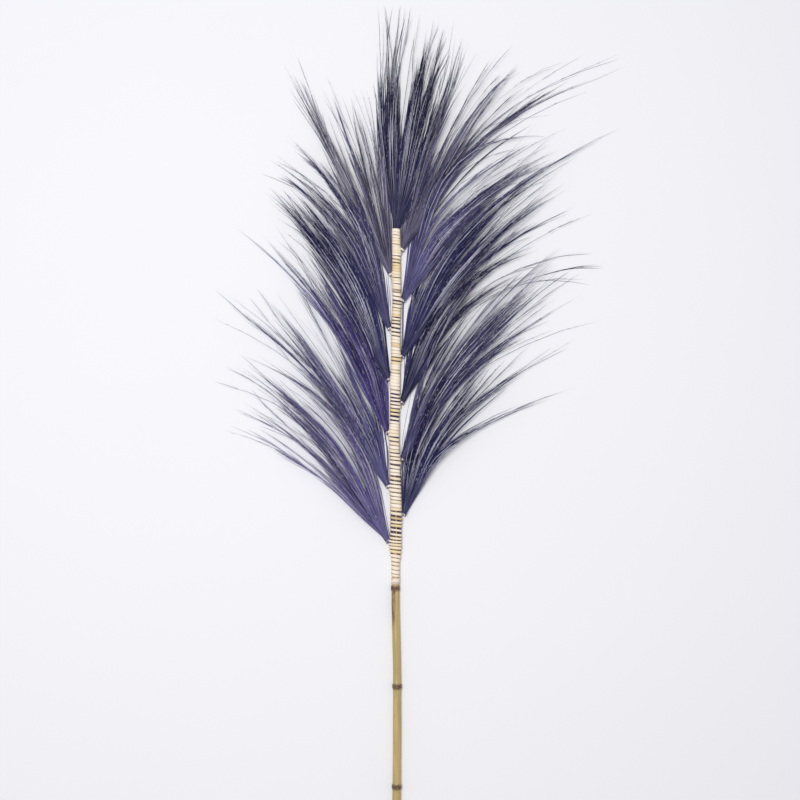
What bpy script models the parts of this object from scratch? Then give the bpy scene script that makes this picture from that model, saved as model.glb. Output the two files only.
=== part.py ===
"""A spray of dyed rayung grass: thirteen tufts lashed with raffia up a bamboo cane, lying on a flat surface.

Lengths are in millimetres until a mesh is made. While the spray is laid out, y runs up the stem from the
lower end of the raffia winding, x runs across it to the right, and z is the height above the surface.
"""

import math
import random
from typing import NamedTuple

import bmesh
import bpy
from mathutils import Matrix, Vector

MM = 0.001
SEED = 41
UP = Vector((0, 0, 1))
SHARP_ANGLE = 40

# The bamboo cane, thickest at its cut end.
CUT_END_Y = -447.0
CANE_TOP_Y = 486.0
CANE_SIDES = 12
CANE_STEP = 40.0
CANE_STEP_DOWN_Y = -11.5
CANE_RADII = ((CUT_END_Y, 6.3), (-20.0, 5.9), (CANE_STEP_DOWN_Y, 5.4), (0.0, 4.8), (CANE_TOP_Y, 2.4))
NODE_YS = (-313.0, -163.0, -16.0)
NODE_RISE = 1.4
NODE_HALF_LENGTH = 4.2
NODE_CREST_HALF_LENGTH = 2.0
LUMEN_RADIUS = 2.2
LUMEN_DEPTH = 30.0
STEM_BOW = ((CUT_END_Y, 0.5), (-163.0, 1.5), (-16.0, -1.0), (94.0, 0.0), (205.0, -2.5), (330.0, -0.5),
            (440.0, 1.0), (524.0, 0.0))

# The raffia winding, a tube round the cane and the stalks, with a crest for each turn.
WINDING_TOP_Y = 524.0
WINDING_TURNS = 27
WINDING_SIDES = 10
LINING_EVERY = 6
WALL = 0.8
CREST = 0.6
CLEARANCE = 0.5
ROOM_OVER_CANE = 0.9
COLLAR_LENGTH = 11.0
COLLAR_WALL = 0.9
TIE_THICKNESS = 0.8
TIE_LOOP_SIDES, TIE_STRIP_SIDES = 8, 4

# The part of each tuft that the winding holds.
STALK_LENGTH = 58.0
LOWEST_STALK_Y = 16.0
STALK_STEPS = 3
STALK_THICKNESS = (2.4, 1.8)
STALK_SIDES = 8
NECK_RADIUS = 2.0
NECK_BEND_LENGTH = 7.0
NECK_BEYOND_TIE = 5.0
FAN_LENGTH = 9.0
FAN_SIZE = (3.0, 2.2)
TIE_STAND_OFF = 4.9
TOP_STALK_YS = (468.0, 497.0, 511.0)
OPENING_MARGIN = 1.5

# How a tuft lies: it lifts off the surface beside the stem, and its upper edge rides over the next tuft up.
SHOULDER_RISE = 11.0
SHOULDER_START, SHOULDER_WIDTH = 10.0, 60.0
SHINGLE_SLOPE = 0.22
SHINGLE_START = 40.0
TOP_TUFT_SINK, TOP_TUFT_SINK_LENGTH = 1.6, 50.0

# Each lock has a slim core that its strands grow from. Both are coarser than the real strands.
STRANDS_PER_SHARE = 9
STRAND_RADII = (0.6, 0.5)
STRAND_SPREADS = (0.75, 0.97)
INNERMOST = 0.34
EDGE_SHORTENING, REACH_DRAW = 0.2, 0.05
CORE_START = 6.0
CORE_SIDES = 4
CORE_RADII = (1.3, 0.8)
FIRST_ROOT, LAST_ROOT = 0.22, 0.56
MIDDLE_STRAND_BEND, MIDDLE_STRAND_RADIUS = 0.78, 0.5
LAYER_SPREAD = 1.1
LOCK_SPREAD = 2.4


class Lock(NamedTuple):
    """Where a lock's middle and tip lie, its half-width, and its share of the strands."""

    middle: tuple
    tip: tuple
    half_width: float
    share: float


class Tuft(NamedTuple):
    """Side -1 is left, 1 right and 0 the top of the stem. Lean is in degrees from the stem."""

    side: int
    tie_y: float
    lean: float
    tone: str
    locks: tuple


TUFTS = {
    "tuft_left_1": Tuft(-1, 54, 36, "violet", (
        Lock((-132, 174), (-286, 262), 7, 0.5), Lock((-117, 170), (-246, 262), 9, 0.8),
        Lock((-99, 190), (-201, 278), 11, 1.0), Lock((-84, 206), (-252, 326), 12, 1.2),
        Lock((-58, 190), (-159, 308), 12, 0.9), Lock((-36, 168), (-92, 273), 10, 0.6))),
    "tuft_left_2": Tuft(-1, 136, 33, "slate", (
        Lock((-114, 274), (-286, 366), 8, 0.5), Lock((-102, 278), (-261, 416), 11, 0.9),
        Lock((-87, 273), (-201, 428), 14, 1.3), Lock((-51, 254), (-154, 438), 13, 1.1))),
    "tuft_left_3": Tuft(-1, 216, 29, "purple", (
        Lock((-111, 404), (-276, 548), 9, 0.7), Lock((-81, 358), (-210, 518), 14, 1.4),
        Lock((-51, 340), (-144, 498), 15, 1.2))),
    "tuft_left_4": Tuft(-1, 296, 26, "indigo", (
        Lock((-99, 452), (-219, 596), 12, 1.0), Lock((-76, 441), (-177, 573), 15, 1.4),
        Lock((-54, 446), (-144, 596), 15, 1.2))),
    "tuft_left_5": Tuft(-1, 372, 23, "plum", (
        Lock((-76, 524), (-196, 626), 14, 1.2), Lock((-57, 528), (-152, 652), 13, 1.3),
        Lock((-42, 506), (-99, 656), 12, 0.8))),
    "tuft_left_6": Tuft(-1, 453, 16, "charcoal", (
        Lock((-76, 610), (-156, 764), 13, 1.3), Lock((-57, 608), (-111, 738), 11, 0.8),
        Lock((-39, 603), (-69, 734), 11, 0.7), Lock((-22, 603), (-33, 730), 8, 0.6))),
    "tuft_top": Tuft(0, 524, 0, "navy", (
        Lock((-16, 678), (-3, 854), 11, 1.2), Lock((-3, 686), (14, 848), 11, 0.8),
        Lock((16, 678), (46, 838), 14, 1.4), Lock((36, 678), (76, 808), 14, 1.1),
        Lock((51, 656), (108, 813), 12, 0.9))),
    "tuft_right_6": Tuft(1, 490, 28, "charcoal", (
        Lock((134, 664), (336, 780), 12, 1.0), Lock((111, 682), (194, 772), 11, 0.9),
        Lock((74, 663), (156, 802), 12, 0.8), Lock((51, 640), (111, 776), 11, 0.7))),
    "tuft_right_5": Tuft(1, 414, 33, "slate", (
        Lock((84, 608), (228, 662), 8, 0.5), Lock((81, 568), (246, 674), 15, 1.2),
        Lock((88, 548), (208, 644), 14, 1.1))),
    "tuft_right_4": Tuft(1, 330, 35.5, "indigo", (
        Lock((81, 472), (246, 638), 15, 1.0), Lock((111, 524), (321, 656), 15, 1.4),
        Lock((118, 506), (298, 598), 13, 1.1), Lock((129, 472), (306, 578), 8, 0.4))),
    "tuft_right_3": Tuft(1, 261, 36, "navy", (
        Lock((66, 386), (156, 490), 15, 1.3), Lock((88, 416), (228, 498), 14, 1.0),
        Lock((104, 438), (294, 554), 10, 0.7), Lock((111, 408), (276, 472), 8, 0.4))),
    "tuft_right_2": Tuft(1, 177, 36.5, "plum", (
        Lock((88, 326), (224, 460), 14, 1.3), Lock((99, 348), (268, 518), 10, 0.7),
        Lock((111, 318), (276, 472), 12, 1.0), Lock((104, 303), (279, 423), 10, 0.6))),
    "tuft_right_1": Tuft(1, 94, 37, "charcoal", (
        Lock((33, 206), (88, 340), 12, 0.9), Lock((58, 220), (156, 340), 13, 1.2),
        Lock((76, 228), (194, 348), 9, 0.7), Lock((96, 238), (315, 382), 12, 1.0),
        Lock((99, 202), (336, 298), 6, 0.5))),
}

# Base colour, roughness and metallic value of each material.
FINISHES = {
    "violet": ((0.075, 0.058, 0.165), 0.6, 0.0),
    "slate": ((0.055, 0.062, 0.110), 0.6, 0.0),
    "purple": ((0.070, 0.040, 0.190), 0.6, 0.0),
    "indigo": ((0.042, 0.042, 0.115), 0.6, 0.0),
    "plum": ((0.065, 0.046, 0.110), 0.6, 0.0),
    "charcoal": ((0.034, 0.032, 0.058), 0.6, 0.0),
    "navy": ((0.036, 0.036, 0.085), 0.6, 0.0),
    "cane": ((0.400, 0.300, 0.110), 0.45, 0.0),
    "raffia": ((0.720, 0.560, 0.330), 0.65, 0.0),
    "collar": ((0.800, 0.690, 0.560), 0.65, 0.0),
}


def smooth(t):
    t = min(max(t, 0.0), 1.0)
    return t * t * (3 - 2 * t)


def between(points, y, ease):
    """The value at y of a line through (y, value) points, eased between them or straight."""
    if y <= points[0][0]:
        return points[0][1]
    for (y0, v0), (y1, v1) in zip(points, points[1:]):
        if y <= y1:
            t = (y - y0) / (y1 - y0)
            return v0 + (v1 - v0) * (smooth(t) if ease else t)
    return points[-1][1]


def cane_radius(y):
    return between(CANE_RADII, y, ease=False)


def stem_x(y):
    return between(STEM_BOW, y, ease=True)


# The cane's nodes have a flat on the underside, on which the stem lies.
AXIS_HEIGHT = cane_radius(NODE_YS[0]) + NODE_RISE


def stalk_thickness(y):
    low, high = STALK_THICKNESS
    return low + (high - low) * smooth(y / WINDING_TOP_Y)


def stalk_room(y):
    """The winding widens above its lower end to take a stalk on each side of the cane."""
    return (stalk_thickness(y) + CLEARANCE) * smooth((y - 2.0) / 12.0)


def winding_inside(y):
    """Half-width and half-height of the space inside the winding."""
    radius = cane_radius(y)
    return radius + CLEARANCE + stalk_room(y), radius + ROOM_OVER_CANE


def closed_mesh(name, build):
    """An object from build(bm), which works in millimetres."""
    bm = bmesh.new()
    build(bm)
    bmesh.ops.recalc_face_normals(bm, faces=bm.faces)
    bmesh.ops.scale(bm, vec=(MM, MM, MM), verts=bm.verts)
    mesh = bpy.data.meshes.new(name)
    bm.to_mesh(mesh)
    bm.free()
    obj = bpy.data.objects.new(name, mesh)
    bpy.context.scene.collection.objects.link(obj)
    return obj


def ring_of(bm, centre, across, up, half_width, half_height, sides, first=-math.pi / 2):
    """A ring of vertices about centre, from the angle first, where the bottom is at a quarter turn back."""
    made = []
    for i in range(sides):
        angle = first + 2 * math.pi * i / sides
        place = centre + across * (half_width * math.cos(angle)) + up * (half_height * math.sin(angle))
        made.append(bm.verts.new(place))
    return made


def skin(bm, ring_a, ring_b):
    count = len(ring_a)
    for i in range(count):
        j = (i + 1) % count
        bm.faces.new((ring_a[i], ring_a[j], ring_b[j], ring_b[i]))


def cap(bm, ring, tip=None):
    if tip is None:
        bm.faces.new(ring)
        return
    point = bm.verts.new(tip)
    for i, vertex in enumerate(ring):
        bm.faces.new((vertex, ring[(i + 1) % len(ring)], point))


def swept(bm, places, sizes, sides):
    """A closed tube through places, with a (half-width, half-height) size at each."""
    rings = []
    for i, place in enumerate(places):
        ahead = places[min(i + 1, len(places) - 1)]
        along = (ahead - places[max(i - 1, 0)]).normalized()
        across = along.cross(UP).normalized()
        rings.append(ring_of(bm, place, across, across.cross(along), *sizes[i], sides))
    for ring_a, ring_b in zip(rings, rings[1:]):
        skin(bm, ring_a, ring_b)
    cap(bm, rings[0])
    cap(bm, rings[-1])
    bmesh.ops.triangulate(bm, faces=bm.faces)


def level_ring(bm, y, half_width, half_height, sides):
    """A ring round the stem, square to it, whose flat sides touch an ellipse of these half-sizes.

    One of its sides faces straight down.
    """
    centre = Vector((stem_x(y), y, AXIS_HEIGHT))
    corner = 1 / math.cos(math.pi / sides)
    return ring_of(bm, centre, Vector((1, 0, 0)), UP, half_width * corner, half_height * corner, sides,
                   first=-math.pi / 2 + math.pi / sides)


def give_finish(obj, finish):
    material = bpy.data.materials.get(finish)
    if material is None:
        colour, roughness, metallic = FINISHES[finish]
        material = bpy.data.materials.new(finish)
        material.use_nodes = True
        shader = material.node_tree.nodes["Principled BSDF"]
        shader.inputs["Base Color"].default_value = (*colour, 1.0)
        shader.inputs["Roughness"].default_value = roughness
        shader.inputs["Metallic"].default_value = metallic
    obj.data.materials.append(material)


def make_cane():
    """The bamboo, with a swollen ring at each node and a hollow at the cut end."""
    steps = round(CANE_TOP_Y / CANE_STEP)
    rows = [CUT_END_Y, CANE_STEP_DOWN_Y] + [CANE_TOP_Y * i / steps for i in range(steps + 1)]
    profile = [(y, cane_radius(y)) for y in rows]
    for y in NODE_YS:
        profile += [(y - NODE_HALF_LENGTH, cane_radius(y - NODE_HALF_LENGTH)),
                    (y - NODE_CREST_HALF_LENGTH, cane_radius(y) + NODE_RISE),
                    (y + NODE_CREST_HALF_LENGTH, cane_radius(y) + NODE_RISE),
                    (y + NODE_HALF_LENGTH, cane_radius(y + NODE_HALF_LENGTH))]
    profile.sort()

    def build(bm):
        rings = [level_ring(bm, y, radius, radius, CANE_SIDES) for y, radius in profile]
        hollow = [level_ring(bm, y, LUMEN_RADIUS, LUMEN_RADIUS, CANE_SIDES)
                  for y in (CUT_END_Y, CUT_END_Y + LUMEN_DEPTH)]
        for ring_a, ring_b in zip(rings, rings[1:]):
            skin(bm, ring_a, ring_b)
        skin(bm, rings[0], hollow[0])
        skin(bm, hollow[0], hollow[1])
        cap(bm, hollow[1])
        cap(bm, rings[-1])

    return closed_mesh("cane", build)


def make_sleeve(name, profile, sides):
    """A tube round the stem from (y, inner half-sizes, outer half-sizes) rows."""

    def build(bm):
        outer = [level_ring(bm, y, *out, sides) for y, _, out in profile]
        inner = [level_ring(bm, y, *into, sides) for y, into, _ in profile if into]
        for rings in (outer, inner):
            for ring_a, ring_b in zip(rings, rings[1:]):
                skin(bm, ring_a, ring_b)
        skin(bm, outer[0], inner[0])
        skin(bm, outer[-1], inner[-1])

    return closed_mesh(name, build)


def make_winding():
    """The raffia strip's turns as crests, on a wall that follows the cane and the stalks."""
    profile = []
    steps = 2 * WINDING_TURNS
    for i in range(steps + 1):
        y = WINDING_TOP_Y * i / steps
        half_width, half_height = winding_inside(y)
        out = WALL + (CREST if i % 2 else 0.0)
        lined = i < LINING_EVERY or i % LINING_EVERY == 0
        inside = (half_width, half_height) if lined else None
        profile.append((y, inside, (half_width + out, half_height + out)))
    return make_sleeve("raffia_winding", profile, WINDING_SIDES)


def make_collar():
    """The last wide turn of raffia, between the winding and the uppermost bare node."""
    profile = []
    for y in (-COLLAR_LENGTH, -COLLAR_LENGTH / 2, -CLEARANCE):
        inside = cane_radius(y) + CLEARANCE
        profile.append((y, (inside, inside), (inside + COLLAR_WALL, inside + COLLAR_WALL)))
    return make_sleeve("raffia_collar", profile, WINDING_SIDES)


def shoulder(x):
    """How far a tuft has risen beside the stem."""
    return SHOULDER_RISE * smooth((abs(x) - SHOULDER_START) / SHOULDER_WIDTH)


def tie_place(tuft):
    """The centre of a tuft's neck where its tie grips it."""
    reach = winding_inside(tuft.tie_y)[0] + WALL + TIE_STAND_OFF
    return Vector((stem_x(tuft.tie_y) + tuft.side * reach, tuft.tie_y, AXIS_HEIGHT))


def stalk_size(y):
    """Half-width and half-height of a stalk where it lies beside the cane."""
    return stalk_thickness(y) / 2, 0.75 + 0.25 * cane_radius(y)


def stalk_place(side, y):
    reach = cane_radius(y) + CLEARANCE + stalk_thickness(y) / 2
    return Vector((stem_x(y) + side * reach, y, AXIS_HEIGHT))


def heading_of(tuft):
    angle = math.radians(tuft.lean)
    return Vector((tuft.side * math.sin(angle), math.cos(angle), 0))


def neck_places(tuft):
    """The bend from the stalk out through the winding, and on through the tie."""
    bend = stalk_place(tuft.side, tuft.tie_y - NECK_BEND_LENGTH)
    tie = tie_place(tuft)
    return [bend, tie, tie + heading_of(tuft) * NECK_BEYOND_TIE]


def make_neck_cutter(name, tuft):
    """A little more than the neck, to open the winding round it."""
    bend, tie, _ = neck_places(tuft)
    start = stalk_place(tuft.side, bend.y - OPENING_MARGIN)
    places = [start, bend, tie + (tie - bend).normalized() * OPENING_MARGIN]
    radius = NECK_RADIUS + CLEARANCE
    sizes = [(stalk_thickness(start.y) / 2, radius), (radius, radius), (radius, radius)]
    cutter = closed_mesh(name, lambda bm: swept(bm, places, sizes, STALK_SIDES))
    cutter.hide_render = True
    cutter.display_type = "WIRE"
    return cutter


def make_tie(name, tuft):
    """A loop of raffia round a tuft's neck."""
    bend, tie, beyond = neck_places(tuft)
    along = (beyond - bend).normalized()
    across = along.cross(UP).normalized()
    up = across.cross(along)
    reach = (NECK_RADIUS + CLEARANCE + TIE_THICKNESS) / math.cos(math.pi / TIE_LOOP_SIDES)

    def build(bm):
        rings = []
        for i in range(TIE_LOOP_SIDES):
            angle = 2 * math.pi * i / TIE_LOOP_SIDES
            outward = across * math.cos(angle) + up * math.sin(angle)
            rings.append(ring_of(bm, tie + outward * reach, outward, along,
                                 TIE_THICKNESS, TIE_THICKNESS, TIE_STRIP_SIDES))
        for i, ring in enumerate(rings):
            skin(bm, ring, rings[(i + 1) % TIE_LOOP_SIDES])

    return closed_mesh(name, build)


class LockRun:
    """A lock's curve from the tie through its middle to its tip, over which its strands are spread."""

    def __init__(self, tuft, lock, lift):
        self.side = tuft.side
        self.lift = lift
        self.half_width = lock.half_width
        base = tie_place(tuft)
        self.start = Vector((base.x, base.y, 0.0))
        self.tip = Vector((*lock.tip, 0.0))
        self.bend = Vector((*lock.middle, 0.0)) * 2 - (self.start + self.tip) / 2
        self.length = 2 * (self.bend - self.start).length
        heading = heading_of(tuft)
        self.upper_edge = Vector((-tuft.side * heading.y, abs(heading.x), 0.0))

    def centre(self, t):
        return self.start * (1 - t) ** 2 + self.bend * (2 * t * (1 - t)) + self.tip * t**2

    def sideways(self, t):
        """The level direction to the right of the run at t."""
        slope = (self.bend - self.start) * (1 - t) + (self.tip - self.bend) * t
        return slope.cross(UP).normalized()

    def spread(self, t):
        """Half-width at t: nothing at the tie, full at the middle, and drawn in towards the tip."""
        return self.half_width * smooth(t / 0.5) * (1 - 0.6 * smooth((t - 0.6) / 0.4))

    def height(self, place):
        """The middle height of the tuft over a place."""
        offset = Vector((place.x, place.y, 0.0)) - self.start
        if self.side == 0:
            return AXIS_HEIGHT - TOP_TUFT_SINK * smooth(offset.length / TOP_TUFT_SINK_LENGTH)
        shingle = SHINGLE_SLOPE * offset.dot(self.upper_edge) * smooth(offset.length / SHINGLE_START)
        return AXIS_HEIGHT + shoulder(place.x) + shingle

    def place(self, t, across=0.0, layer=0.0):
        """A point at t, across from -1 to 1 of the half-width, and layer above the middle of the lock."""
        spot = self.centre(t) + self.sideways(t) * (across * self.spread(t))
        middle = self.height(spot) + self.lift * smooth((t - 0.1) / 0.2)
        spot.z = max(middle, LAYER_SPREAD + STRAND_RADII[0]) + layer
        return spot

    def ring(self, bm, t, across, layer, radius, sides, first=-math.pi / 2):
        """A ring of vertices square to the run."""
        return ring_of(bm, self.place(t, across, layer), self.sideways(t), UP, radius, radius, sides, first)


def grow_strand(bm, run, base, facing, across, layer, root, reach):
    """A three-sided strand from the base triangle, a face of the core, out to its reach along the run.

    The base's rear corner becomes the strand's outer edge, at the angle that the face looks to.
    """
    ring = base
    for i, radius in enumerate(STRAND_RADII):
        t = root + (reach - root) * (i + 1) / (len(STRAND_RADII) + 1)
        out = STRAND_SPREADS[i]
        ahead = run.ring(bm, t, across * out, layer * out, radius, len(base), facing)
        skin(bm, ring, ahead)
        ring = ahead
    cap(bm, ring, run.place(reach, across, layer))


def add_lock(bm, run, count, rng):
    """A slim core with strands along both its sides, drawn out at its end into the middle strand."""
    rows = count // 2
    roots = [FIRST_ROOT + (LAST_ROOT - FIRST_ROOT) * i / rows for i in range(rows + 1)]
    stations = [(CORE_START / run.length, CORE_RADII[0])]
    stations += [(t, CORE_RADII[0] + (CORE_RADII[1] - CORE_RADII[0]) * i / rows) for i, t in enumerate(roots)]
    stations.append((MIDDLE_STRAND_BEND, MIDDLE_STRAND_RADIUS))
    rings = [run.ring(bm, t, 0.0, 0.0, radius, CORE_SIDES) for t, radius in stations]
    cap(bm, rings[0])
    cap(bm, rings[-1], run.place(1.0))
    for i, (near, far) in enumerate(zip(rings, rings[1:])):
        for q in range(CORE_SIDES):
            n = (q + 1) % CORE_SIDES
            if not 1 <= i <= rows or (q + i) % 2:
                bm.faces.new((near[q], near[n], far[n], far[q]))
                continue
            bm.faces.new((near[q], near[n], far[q]))
            across = 1 - (1 - INNERMOST) * (i - 1 + rng.uniform(0.0, 0.05)) / max(rows - 1, 1)
            layer = LAYER_SPREAD * (1 if q in (1, 2) else -1)
            reach = 1.0 - EDGE_SHORTENING * abs(across) ** 1.5 - rng.uniform(0.0, REACH_DRAW)
            across *= 1 if q < 2 else -1
            facing = math.pi * (2 * q + 1) / CORE_SIDES - math.pi / 2
            grow_strand(bm, run, [near[n], far[n], far[q]], facing, across, layer, roots[i - 1], reach)
    bmesh.ops.triangulate(bm, faces=bm.faces)


def make_stalk(name, tuft):
    """The part of a tuft inside the winding, and its neck through the tie."""
    if tuft.side:
        low = max(tuft.tie_y - STALK_LENGTH, LOWEST_STALK_Y)
        high = tuft.tie_y - NECK_BEND_LENGTH
        ys = [low + (high - low) * i / STALK_STEPS for i in range(STALK_STEPS + 1)]
        places = [stalk_place(tuft.side, y) for y in ys] + neck_places(tuft)[1:]
        fan = places[-1] + heading_of(tuft) * FAN_LENGTH
        fan.z += shoulder(fan.x)
        places.append(fan)
        sizes = [stalk_size(y) for y in ys] + [(NECK_RADIUS, NECK_RADIUS)] * 2 + [FAN_SIZE]
    else:
        low, high, middle = TOP_STALK_YS
        places = [stalk_place(-1, low), stalk_place(-1, high)]
        places += [Vector((stem_x(y), y, AXIS_HEIGHT)) for y in (middle, tuft.tie_y, tuft.tie_y + FAN_LENGTH)]
        mouth = [size - CLEARANCE for size in winding_inside(tuft.tie_y)]
        sizes = [stalk_size(low), stalk_size(high), mouth, mouth, FAN_SIZE]
    return closed_mesh(name, lambda bm: swept(bm, places, sizes, STALK_SIDES))


def make_tuft(name, number, tuft):
    """A stalk with its locks, joined by one union."""
    rng = random.Random(SEED + number)
    obj = make_stalk(name, tuft)
    pieces = bpy.data.collections.new(name + "_locks")
    bpy.context.scene.collection.children.link(pieces)
    for index, lock in enumerate(tuft.locks):
        run = LockRun(tuft, lock, LOCK_SPREAD * (index % 3 - 1))
        count = round(lock.share * STRANDS_PER_SHARE)
        piece = closed_mesh(name + "_lock", lambda bm: add_lock(bm, run, count, rng))
        bpy.context.scene.collection.objects.unlink(piece)
        pieces.objects.link(piece)
    join = obj.modifiers.new("join", "BOOLEAN")
    join.operation = "UNION"
    join.operand_type = "COLLECTION"
    join.collection = pieces
    join.solver = "MANIFOLD"
    apply_modifiers(obj)
    for piece in list(pieces.objects):
        bpy.data.objects.remove(piece)
    bpy.data.collections.remove(pieces)
    drop_scraps(obj)
    return obj


def drop_scraps(obj):
    """Keeps the largest body, and drops slivers and pockets that the union leaves."""
    bm = bmesh.new()
    bm.from_mesh(obj.data)
    left = set(bm.faces)
    bodies = []
    while left:
        body, front = [], [left.pop()]
        while front:
            face = front.pop()
            body.append(face)
            for edge in face.edges:
                for other in edge.link_faces:
                    if other in left:
                        left.remove(other)
                        front.append(other)
        bodies.append(body)
    bodies.sort(key=len)
    for body in bodies[:-1]:
        bmesh.ops.delete(bm, geom=body, context="FACES")
    bm.to_mesh(obj.data)
    bm.free()


def apply_modifiers(obj):
    bpy.context.view_layer.objects.active = obj
    for modifier in list(obj.modifiers):
        with bpy.context.temp_override(object=obj, active_object=obj, selected_objects=[obj]):
            bpy.ops.object.modifier_apply(modifier=modifier.name)


def centre_on_origin(objects):
    """Moves the whole spray so that the middle of its underside is the origin."""
    corners = [vertex.co for obj in objects for vertex in obj.data.vertices]
    middle_x = (min(c.x for c in corners) + max(c.x for c in corners)) / 2
    middle_y = (min(c.y for c in corners) + max(c.y for c in corners)) / 2
    for obj in objects:
        obj.data.transform(Matrix.Translation((-middle_x, -middle_y, 0)))


def main():
    for obj in list(bpy.data.objects):
        bpy.data.objects.remove(obj)
    made = {make_cane(): "cane", make_collar(): "collar"}
    winding = make_winding()
    made[winding] = "raffia"
    cutters = []
    for number, (name, tuft) in enumerate(TUFTS.items()):
        made[make_tuft(name, number, tuft)] = tuft.tone
        if tuft.side:
            made[make_tie(name.replace("tuft", "tie"), tuft)] = "raffia"
            cutters.append(make_neck_cutter(name + "_opening", tuft))
    for cutter in cutters:
        cut = winding.modifiers.new(cutter.name, "BOOLEAN")
        cut.operation = "DIFFERENCE"
        cut.solver = "EXACT"
        cut.object = cutter
    apply_modifiers(winding)
    for cutter in cutters:
        bpy.data.objects.remove(cutter)
    centre_on_origin(made)
    for obj, finish in made.items():
        give_finish(obj, finish)
        obj.data.shade_smooth()
        obj.data.set_sharp_from_angle(angle=math.radians(SHARP_ANGLE))


main()
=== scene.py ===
"""A spray of dyed rayung grass on a bamboo cane, bound with raffia and laid on a pale floor.

Lengths in the layout are millimetres. There y runs up the stem from the lower end of the raffia winding,
x runs across it to the right, and z is the height above the floor. Meshes are in metres, in the part's frame.
"""

import math
from typing import NamedTuple

import bpy
import numpy as np
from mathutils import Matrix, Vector


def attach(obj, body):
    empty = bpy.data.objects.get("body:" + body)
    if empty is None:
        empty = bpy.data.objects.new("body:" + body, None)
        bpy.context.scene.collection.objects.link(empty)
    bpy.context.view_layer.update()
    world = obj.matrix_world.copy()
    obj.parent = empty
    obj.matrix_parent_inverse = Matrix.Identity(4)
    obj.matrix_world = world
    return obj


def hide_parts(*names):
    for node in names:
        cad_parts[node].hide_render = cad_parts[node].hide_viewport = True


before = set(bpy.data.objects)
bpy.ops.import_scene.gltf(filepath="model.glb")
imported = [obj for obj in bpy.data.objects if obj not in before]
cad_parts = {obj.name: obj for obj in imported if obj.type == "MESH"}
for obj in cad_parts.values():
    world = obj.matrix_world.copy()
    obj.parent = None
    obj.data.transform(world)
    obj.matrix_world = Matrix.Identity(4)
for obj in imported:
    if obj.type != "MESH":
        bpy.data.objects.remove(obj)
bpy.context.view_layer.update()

bl_info = {
    "name": "Rayung grass spray",
    "version": (1, 0, 0),
    "blender": (4, 5, 0),
    "location": "3D View > Sidebar > Rayung grass",
    "description": "Builds a spray of dyed rayung grass bound to a bamboo cane with raffia",
    "category": "Object",
}

MM = 0.001
SEED = 41
BODY = "root"

# The bamboo cane, thickest at its cut end.
CUT_END_Y = -447.0
CANE_TOP_Y = 486.0
CANE_RADII = ((CUT_END_Y, 6.3), (-20.0, 5.9), (-11.5, 5.4), (0.0, 4.8), (CANE_TOP_Y, 2.4))
NODE_YS = (-313.0, -163.0, -16.0)
NODE_RISE = 1.4
STAIN_YS = (-80.0, -22.0)
STEM_BOW = ((CUT_END_Y, 0.5), (-163.0, 1.5), (-16.0, -1.0), (94.0, 0.0), (205.0, -2.5), (330.0, -0.5),
            (440.0, 1.0), (524.0, 0.0))
LUMEN_RADIUS = 2.2
LUMEN_DEPTH = 30.0
CANE_RING_STEP = 18.0
NODE_REACH = 7.0
NODE_SHAPE = ((-6.0, 0.0), (-3.6, 0.35), (-2.4, 1.0), (-1.2, 1.35), (-0.5, 1.0), (0.1, 0.55), (0.7, 0.9),
              (1.5, 1.4), (2.6, 1.15), (4.0, 0.4), (6.0, 0.0))

# The raffia winding and its collar.
WINDING_TOP_Y = 524.0
CLEARANCE = 0.5
ROOM_OVER_CANE = 0.9
COLLAR_LENGTH = 11.0
STALK_THICKNESS = (2.4, 1.8)
TIE_STAND_OFF = 2.9
WALL = 0.8

# How a tuft lies: it lifts off the floor beside the stem, and its upper edge rides over the next tuft up.
SHOULDER_RISE = 11.0
SHOULDER_START, SHOULDER_WIDTH = 10.0, 60.0
SHINGLE_SLOPE = 0.22
SHINGLE_START = 40.0
TUCK_DEPTH, TUCK_WIDTH = 5.5, 45.0
TOP_TUFT_SINK, TOP_TUFT_SINK_LENGTH = 1.6, 50.0
LOCK_SPREAD = 2.4
LEAST_HEIGHT = 0.8

FIBRE_MAP = "OFBake"
LOOSE_SHARE, INNER_SHARE, OUTER_SHARE = 0.32, 0.15, 0.03
SPIKELET_COLUMN = 0.82
MOST_TURN, OUTWARD_TURN = math.radians(13), math.radians(7)
TOP_TURNS = math.radians(5), math.radians(17)
# Share of strands drawn palest and laid on top: paler fibres, and partly a painted highlight.
BRIGHT_SHARE = 0.045
STRAY_SHARE = 0.06
STRAY_REACHES, STRAY_GIRTH, STRAY_SWAY = (0.8, 1.06), 0.55, 8.0
STRAIGHTNESS = 0.85

# How far a wisp reaches towards its lock's tip, as (luck, reach) points.
HELD_REACHES = ((0.0, 0.4), (0.45, 0.6), (0.8, 0.88), (1.0, 1.04))
LOOSE_REACHES = ((0.0, 0.26), (0.6, 0.48), (1.0, 0.8))

# How a fan opens: fully by this share of its length, and then closing a little towards its tips.
OPEN_BY, OPENING_POWER = 0.5, 2.1
CLOSE_FROM, CLOSING = 0.6, 0.45
SWAY_FROM = 0.35
LAYER_DEPTH, LAYER_GAIN = 1.7, 1.8
STRAND_APART = 0.85
NECK_HALF_WIDTH, TOP_NECK_HALF_WIDTH = 1.4, 3.4
SHOOT_SIDEWAYS, SHOOT_UP = 26.0, 14.0

# Small numbers for the shapes that are laid along strands.
STEP_AHEAD = 0.01
LEAST_FACE_HEIGHT = 0.2
MAP_REACH = 1.12

# A seed husk: its tapering part and its middle as shares of its length, and its least and most sizes.
HUSK_TAPER, HUSK_MIDDLE = 0.66, 0.67
HUSK_LENGTHS, HUSK_RADII = (3.0, 6.0), (0.3, 0.5)

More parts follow.
